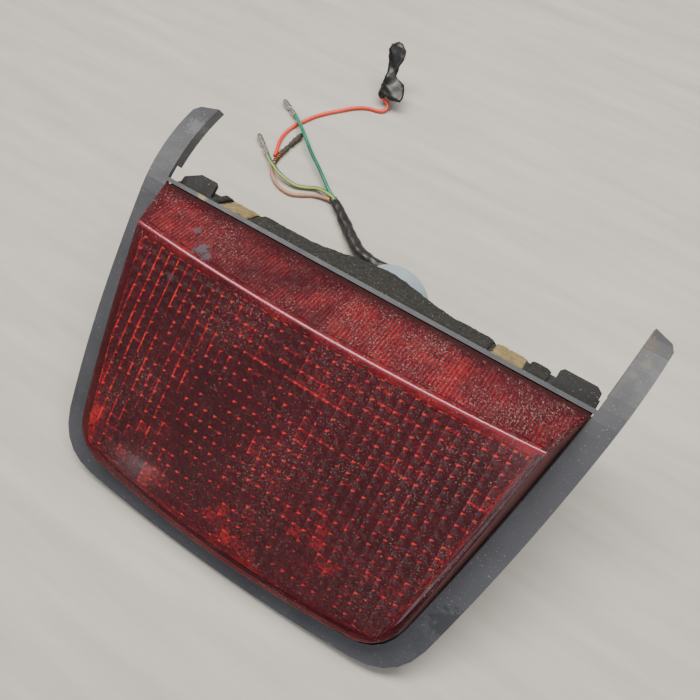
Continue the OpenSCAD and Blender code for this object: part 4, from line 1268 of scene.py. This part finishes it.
    def skin(self) -> None:
        """Makes the outer skin: face, rounded edges and walls down to the foot."""
        rows = self.stations()
        count = self.columns + 1
        shares = [2 * i / self.columns - 1 for i in range(count)]
        points = [self.face_point(row, u, self.edge_round, 0.0) for row in rows for u in shares]
        faces = [cell_corners(k, i, count) for k in range(len(rows) - 1) for i in range(self.columns)]
        loop = [(0, i) for i in range(count)] + [(k, count - 1) for k in range(1, len(rows))]
        loop += [(len(rows) - 1, i) for i in range(count - 2, -1, -1)]
        loop += [(k, 0) for k in range(len(rows) - 2, 0, -1)]
        rings = [[k * count + i for k, i in loop]]
        for step in range(1, self.edge_steps + 1):
            q = math.pi / 2 * step / self.edge_steps
            inset = self.edge_round * (1 - math.sin(q))
            drop = self.edge_round * (1 - math.cos(q))
            ring = [self.face_point(rows[k], shares[i], inset, drop) for k, i in loop]
            rings.append(self.add_ring(points, ring))
        foot = []
        for k, i in loop:
            edge = self.face_point(rows[k], shares[i], 0.0, 0.0)
            out = self.draft * edge.z
            foot.append(Vector((edge.x + math.copysign(out, edge.x) * (abs(shares[i]) == 1),
                                edge.y + out * ((k == 0) - (k == len(rows) - 1)), self.seat_z)))
        rings.append(self.add_ring(points, foot))
        wall_from = len(faces) + (len(rings) - 3) * len(loop)
        for upper, lower in zip(rings, rings[1:]):
            for i in range(len(loop)):
                j = (i + 1) % len(loop)
                faces.append((upper[i], upper[j], lower[j], lower[i]))
        piece = make_object("lens_skin", [self.lamp.to_row(*p) for p in points], faces)
        shell = piece.modifiers.new("wall", "SOLIDIFY")
        shell.thickness = self.wall_mm * MM
        shell.offset = -1
        shell.material_offset = 1
        settle(piece, LensSkin().build(self.lamp), ("lens",))
        back = LENS_BACK.build(self.lamp)
        for material in (back, LENS_WALL.build(self.lamp), back):
            piece.data.materials.append(material)
        for polygon in piece.data.polygons:
            polygon.material_index = 2 if polygon.index >= wall_from else 0

    @staticmethod
    def add_ring(points: list[Vector], ring: Sequence[Vector]) -> list[int]:
        """Adds a ring of points and returns their numbers."""
        start = len(points)
        points.extend(ring)
        return list(range(start, len(points)))

    def face_height(self, x: float, y: float) -> float:
        """Returns the height of the outer face over a place on the lamp."""
        u = max(-1.0, min(1.0, x / (self.half_w(y) - 4)))
        depth = self.side_h + self.bottom_bow - self.crease_y
        return self.rise(u, clamp((-self.crease_y + self.crease_bow * u * u - y) / (depth - 1.2 * u * u)))

    def half_limit(self, y: float, margin: float) -> float:
        """Works out how far out the optics may reach, with the corners rounded.

        Args:
            y: The height on the lamp.
            margin: How far they stay inside the lens's edge.

        Returns:
            The half width.
        """
        start = -self.side_h + self.corner_r
        half = self.half_w(y) - margin
        if y < start:
            s = min(1.0, (start - y) / (self.corner_r + self.bottom_bow - 3))
            half -= self.corner_r * (1 - math.sqrt(1 - s * s))
        return half

    def prisms(self) -> None:
        """Makes the main face's sheet of hollow prisms, each facet with its own painted light level."""
        draw = random.Random(self.seed)
        half_cells = int(self.top_half / self.prism_mm) + 1
        xs = [(i + c) * self.prism_mm for i in range(-half_cells, half_cells) for c in self.cuts]
        low = int((self.side_h + self.bottom_bow) / self.prism_mm) + 1
        ys = [(-i - c) * self.prism_mm for i in range(4, low) for c in self.down_cuts]
        points = [self.prism_point(x, y) for y in ys for x in xs]
        count = len(xs)
        faces, painted_lights = [], []
        for r in range(len(ys) - 1):
            for c in range(count - 1):
                ids = cell_corners(r, c, count)
                corners = [points[i] for i in ids]
                area = (corners[2] - corners[0]).cross(corners[3] - corners[1]).length
                column, row = c % len(self.cuts), r % len(self.down_cuts)
                painted_light = self.painted_light(xs[c], ys[r], column, row, draw)
                # the corner facet is split in two, so its painted glint is a triangle
                if area > self.least_facet and row == 0 and column == 1:
                    faces += [(ids[0], ids[1], ids[3]), (ids[1], ids[2], ids[3])]
                    painted_lights += [painted_light, 0.3 * painted_light]
                elif area > self.least_facet:
                    faces.append(ids)
                    painted_lights.append(painted_light)
        self.sheet("lens_prisms", points, faces, painted_lights)

    def prism_point(self, x: float, y: float) -> Vector:
        """Hollows each cell like a shallow pyramid and keeps it inside the clear margins.

        Args:
            x: The place across the lamp.
            y: The place up the lamp.

        Returns:
            The point, in mm on the lamp.
        """
        a = abs((x / self.prism_mm) % 1 - 0.5)
        b = abs((y / self.prism_mm) % 1 - 0.5)
        hollow = self.prism_deep * (0.5 - max(a, b, self.prism_flat))
        u = x / self.top_half
        y = min(y, -self.crease_y + self.crease_bow * u * u - self.margin_top)
        y = max(y, -self.side_h - self.bottom_bow * (1 - (x / self.foot_half) ** 2) + self.margin_foot)
        limit = self.half_limit(y, self.draft * self.face_height(x, y) + self.margin_side)
        x = max(-limit, min(limit, x))
        return Vector((x, y, self.face_height(x, y) - self.optics_gap - hollow))

    def painted_light(self, x: float, y: float, column: int, row: int, draw: random.Random) -> float:
        """Returns how brightly a facet's glint is painted.

        Args:
            x: Its place across the lamp.
            y: Its place up the lamp.
            column: Its place in its cell, 0 in the groove on the left.
            row: Its place in its cell, 0 in the groove above.
            draw: The random source.

        Returns:
            A level from 0, painted dark, to 1, a full painted red glint.
        """
        # how far over to the left it is, how near the painted bright bar under the crease, how far down the
        # face
        left = clamp((-18 - x) / 60)
        upper = max(0.0, 1 - abs(y + 50) / 14) * max(0.0, 1 - abs(x + 5) / 70)
        dim = clamp((-88 - y) / 50)
        patchy = noise.noise(Vector((x * 0.045, y * 0.06, 4.2)))
        cell = noise.noise(Vector((x // self.prism_mm * 3.7, y // self.prism_mm * 5.3, 1.5)))
        # how near the side, where the wall lets light in, painted brighter
        rim = max(0.0, 1 - (self.half_limit(y, 0.0) - abs(x)) / 16) * (1.0 if x < 0 else 0.5)
        jitter = draw.uniform(-0.25, 0.25)
        # painted glints: the corner of a prism throws the light back most, then its left groove, its upper
        # one, its body
        if column <= 1 and row == 0:
            return 0.98 - 0.35 * dim + 1.0 * cell + jitter
        if column == 0:
            return 0.16 + (0.52 * left + 0.25 * patchy) * (1 - 0.6 * dim) + 0.4 * cell + jitter
        if row == 0:
            return 0.14 + 0.5 * upper + 0.2 * patchy + 0.4 * cell + jitter
        return 0.05 + 0.1 * upper + 0.2 * dim + 0.42 * rim + 0.3 * max(0.0, cell) + 0.4 * jitter

    def flutes(self) -> None:
        """Makes the band's sheet of fine flutes that run down to the crease, with bright crests and dark
        troughs painted on.
        """
        draw = random.Random(self.seed + 1)
        steps = len(self.flute_painted_lights)
        reach = int(self.top_half / self.flute_mm)
        xs = [i * self.flute_mm / steps for i in range(-reach * steps, reach * steps + 1)]
        rows = [-0.06 + 0.95 * i / self.flute_rows for i in range(self.flute_rows + 1)]
        points, faces, painted_lights = [], [], []
        for row in rows:
            for x in xs:
                edge = self.sharp_point(row, 1.0, self.flute_inset, 0.0)
                across = max(-edge.x, min(edge.x, x))
                place = self.sharp_point(row, across / edge.x, self.flute_inset, self.optics_gap)
                place.z -= self.flute_deep * abs((x / self.flute_mm) % 1 - 0.5) * 2
                points.append(place)
        count = len(xs)
        for r in range(len(rows) - 1):
            for c in range(count - 1):
                ids = cell_corners(r, c, count)
                if (points[ids[3]] - points[ids[0]]).length < self.least_width:
                    continue
                # the top rows, next to the rail, are painted darker
                dark = 0.3 * max(0.0, 1 - r / 1.5)
                faces.append(ids)
                painted_lights.append(self.flute_painted_lights[c % steps] - dark + draw.uniform(-0.08, 0.08))
        self.sheet("lens_flutes", points, faces, painted_lights)

    def base(self) -> None:
        """Makes the plain back of the moulding, which shows red through the clear margins."""
        rows = [-0.05, 0.22, 0.5, 0.8] + [1 + 0.5 * i for i in range(22)]
        count = 41
        shares = [2 * i / (count - 1) - 1 for i in range(count)]
        points = [self.sharp_point(row, u, self.base_inset, self.base_drop) for row in rows for u in shares]
        faces = [cell_corners(k, i, count) for k in range(len(rows) - 1) for i in range(count - 1)]
        self.sheet("lens_back_face", points, faces, [self.base_flash] * len(faces))

    def foot_spot(self, row: float, u: float) -> Vector:
        """Returns a point on the line of the wall's foot, in mm on the lamp."""
        y, bow, half = self.row_shape(row, 0.0)
        return Vector((half * u, y + bow * u * u, 0.0))

    def shadow_gap_line(self) -> None:
        """Makes a dark, dirty bead in the gap between the lens's wall and the bezel, which stands in for
        the shadow there.
        """
        side = [Vector((self.half_w(-y), -y, 0.0)) for y in (1, 5, 9, 13, 17, 21)]
        side += [self.foot_spot(1 + (self.last_row - 1) * i / 40, 1.0) for i in range(1, 41)]
        foot = [self.foot_spot(self.last_row, 1 - i / 20) for i in range(1, 40)]
        line = side + foot + [Vector((-p.x, p.y, 0.0)) for p in reversed(side)]
        path = []
        for k, spot in enumerate(line):
            run = (line[min(k + 1, len(line) - 1)] - line[max(k - 1, 0)]).normalized()
            # the bezel's face falls away towards its foot and towards the ears, and the bead goes with it
            bend = max(0.0, -60 - spot.y) ** 2 / 1700 + max(0.0, spot.y + 10) ** 2 / 160
            path.append(self.lamp.to_row(spot.x - run.y * 0.25, spot.y + run.x * 0.25, -bend - 1.2))

        def radius(share: float, q: float) -> float:
            """Returns the bead's radius at a share of its length and an angle round it."""
            return (self.bead_r + 0.2 * noise.noise(Vector((share * 90, math.cos(q), math.sin(q))))) * MM

        settle(tube("shadow_gap_bead", path, radius, 10), SHADOW_GAP_BEAD.build(self.lamp))

    def sheet(self, name: str, points: Sequence[Vector], faces: Sequence[Sequence[int]],
              painted_lights: Sequence[float]) -> None:
        """Makes one sheet of optics whose facets keep their painted light level.

        Args:
            name: The piece's name.
            points: Its points, in mm on the lamp.
            faces: Its facets.
            painted_lights: How brightly each facet's glint is painted.
        """
        used = sorted({i for face in faces for i in face})
        number = {old: new for new, old in enumerate(used)}
        piece = make_object(name, [self.lamp.to_row(*points[i]) for i in used],
                            [[number[i] for i in face] for face in faces], smooth=False)
        layer = piece.data.attributes.new("painted_light", "FLOAT", "FACE")
        layer.data.foreach_set("value", painted_lights)
        shell = piece.modifiers.new("wall", "SOLIDIFY")
        shell.thickness = self.sheet_mm * MM
        shell.offset = -1
        settle(piece, LensOptics().build(self.lamp))


# ---- foam and glue on the housing's top ----
@dataclass
class TopStrips:
    """Foam tape and dried glue that follow the top wall of the housing. Sizes are in mm on the lamp."""

    lamp: LampFrame
    top_rise: float = 7.6
    hump_rise: float = 5.6
    hump_half_w: float = 46.0
    shelf_z: float = -4.7
    slope_z: float = -30.0
    front_rise: float = 1.6
    lift: float = 0.3
    mesh_mm: float = 1.2
    mesh_rows: int = 26
    rim_share: float = 0.42
    next_share: float = 0.82
    flat_share: float = 0.95

    def wall(self, x: float, z: float) -> float:
        """Returns the height of the top wall at a place along it and a depth."""
        hump = (1 + math.cos(math.pi * x / self.hump_half_w)) / 2 if abs(x) < self.hump_half_w else 0
        share = max(0.0, (self.shelf_z - z) / (self.shelf_z - self.slope_z))
        slope = self.front_rise + (self.top_rise + self.hump_rise - self.front_rise) * share ** 1.25
        return min(self.top_rise + self.hump_rise * hump, slope)

    def build(self) -> None:
        """Makes the strips."""
        foam = FOAM.build(self.lamp)
        glue = GLUE.build(self.lamp)
        for name, x0, x1, depth in (("foam_long", -72, 66, -36), ("foam_right", 86, 96, -26),
                                    ("foam_left", -98, -93, -26)):
            stands = ("foam_strip",) if name == "foam_long" else ()
            self.strip(name, (x0, x1), (-5.4, depth), 1.6, 0.3, foam, stands)
        for name, x0, x1 in (("glue_left", -91, -74), ("glue_right", 68, 84)):
            stands = ("adhesive_pads",) if name == "glue_left" else ()
            self.strip(name, (x0, x1), (-7, -28), 0.8, 0.75, glue, stands)

    def strip(self, name: str, span: tuple[float, float], depths: tuple[float, float], thick: float,
              rough: float, material: bpy.types.Material, stands: Sequence[str]) -> None:
        """Makes one strip with a torn outline and an uneven face.

        Args:
            name: The piece's name.
            span: Its ends along the lamp.
            depths: Its front and back edges.
            thick: Its thickness.
            rough: How uneven it is, as a share of the thickness.
            material: Its finish.
            stands: The nodes that it stands for.
        """
        across = max(5, round(abs(span[1] - span[0]) / self.mesh_mm))
        deep = self.mesh_rows
        points = []
        for layer in (0, 1):
            for r in range(deep + 1):
                for c in range(across + 1):
                    x = span[0] + (span[1] - span[0]) * c / across
                    z = depths[0] + (depths[1] - depths[0]) * r / deep
                    edge = min(c, across - c, r, deep - r)
                    if edge == 0:
                        x += 0.5 * noise.noise(Vector((x * 0.4, z * 0.4, 5)))
                        z += (0.5 if r else 0.2) * noise.noise(Vector((x * 0.5, z * 0.3, 9)))
                    crumb = noise.fractal(Vector((x * 0.45, z * 0.45, 2 + thick)), 1.0, 2.0, 3)
                    share = (self.rim_share, self.next_share, self.flat_share)[min(edge, 2)]
                    height = max(0.2, thick * share * (1 + rough * crumb)) if layer else 0.0
                    points.append((x, self.wall(x, z) + self.lift + height, z))
        rows, count = deep + 1, across + 1
        size = rows * count
        faces = []
        for r in range(deep):
            for c in range(across):
                a, b = r * count + c, (r + 1) * count + c
                faces.append((a, a + 1, b + 1, b))
                faces.append((size + a, size + b, size + b + 1, size + a + 1))
        rim = [*range(count)] + [r * count + across for r in range(1, rows)]
        rim += [deep * count + c for c in range(across - 1, -1, -1)]
        rim += [r * count for r in range(deep - 1, 0, -1)]
        for i, a in enumerate(rim):
            b = rim[(i + 1) % len(rim)]
            faces.append((b, a, size + a, size + b))
        piece = make_object(name, [self.lamp.to_row(*p) for p in points], faces)
        settle(piece, material, stands)


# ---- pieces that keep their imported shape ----
@dataclass
class PlainPieces:
    """The moulded, turned and pressed pieces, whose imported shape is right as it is."""

    lamp: LampFrame
    nodes: dict
    finishes: dict[str, Finish] = field(default_factory=lambda: {
        "bezel": BEZEL_ABS, "housing": HOUSING_ABS, "lens_sealant": SEALANT, "reflector": MIRROR,
        "case_screws": ZINC_STEEL, "mount_studs": ZINC_STEEL, "stud_grommets": RUBBER,
        "port_seal": RUBBER, "holder_barrel": PHENOLIC, "holder_cap": CAP_PVC,
        "socket_shell": TINNED_STEEL, "earth_tab": TINNED_STEEL, "contact_springs": SPRING_STEEL,
        "contact_plate": LAMINATE, "contact_rivets": BRASS, "bulb_base": BRASS, "bulb_pins": BRASS,
        "base_insulator": VITRITE, "solder_contacts": SOLDER, "bulb_glass": BULB_GLASS,
        "glass_stem": STEM_GLASS, "filament_posts": NICKEL, "filaments": TUNGSTEN,
        "bullet_green": BULLET_TIN, "bullet_green_yellow": BULLET_TIN})
    softened: dict[str, float] = field(default_factory=lambda: {
        "bezel": 0.45, "housing": 0.3, "holder_barrel": 0.2, "case_screws": 0.15, "stud_grommets": 0.4})
    sharpest_deg: float = 40.0

    def build(self) -> None:
        """Dresses every piece and softens the moulded edges."""
        made: dict[str, bpy.types.Material] = {}
        for name, finish in self.finishes.items():
            if finish.name not in made:
                made[finish.name] = finish.build(self.lamp)
            node = self.nodes[name]
            if not node.material_slots:
                node.data.materials.append(None)
            for slot in node.material_slots:
                slot.material = made[finish.name]
            if name in self.softened:
                soften = node.modifiers.new("moulded_edge", "BEVEL")
                soften.width = self.softened[name] * MM
                soften.segments = 2
                soften.limit_method = "ANGLE"
                soften.angle_limit = math.radians(self.sharpest_deg)
            LOG.info("%s is dressed in %s", name, finish.name)


def main() -> None:
    """Loads the frame, then makes the studio, the leads, the lens, the strips and the finishes."""
    logging.basicConfig(level=logging.INFO, format="%(name)s: %(message)s")
    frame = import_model()
    lamp = LampFrame.from_record(frame["record"])
    Studio(lamp).build()
    Leads(lamp, frame["nodes"]).build()
    Lens(lamp).build()
    TopStrips(lamp).build()
    PlainPieces(lamp, frame["nodes"]).build()


if __name__ == "__main__":
    main()
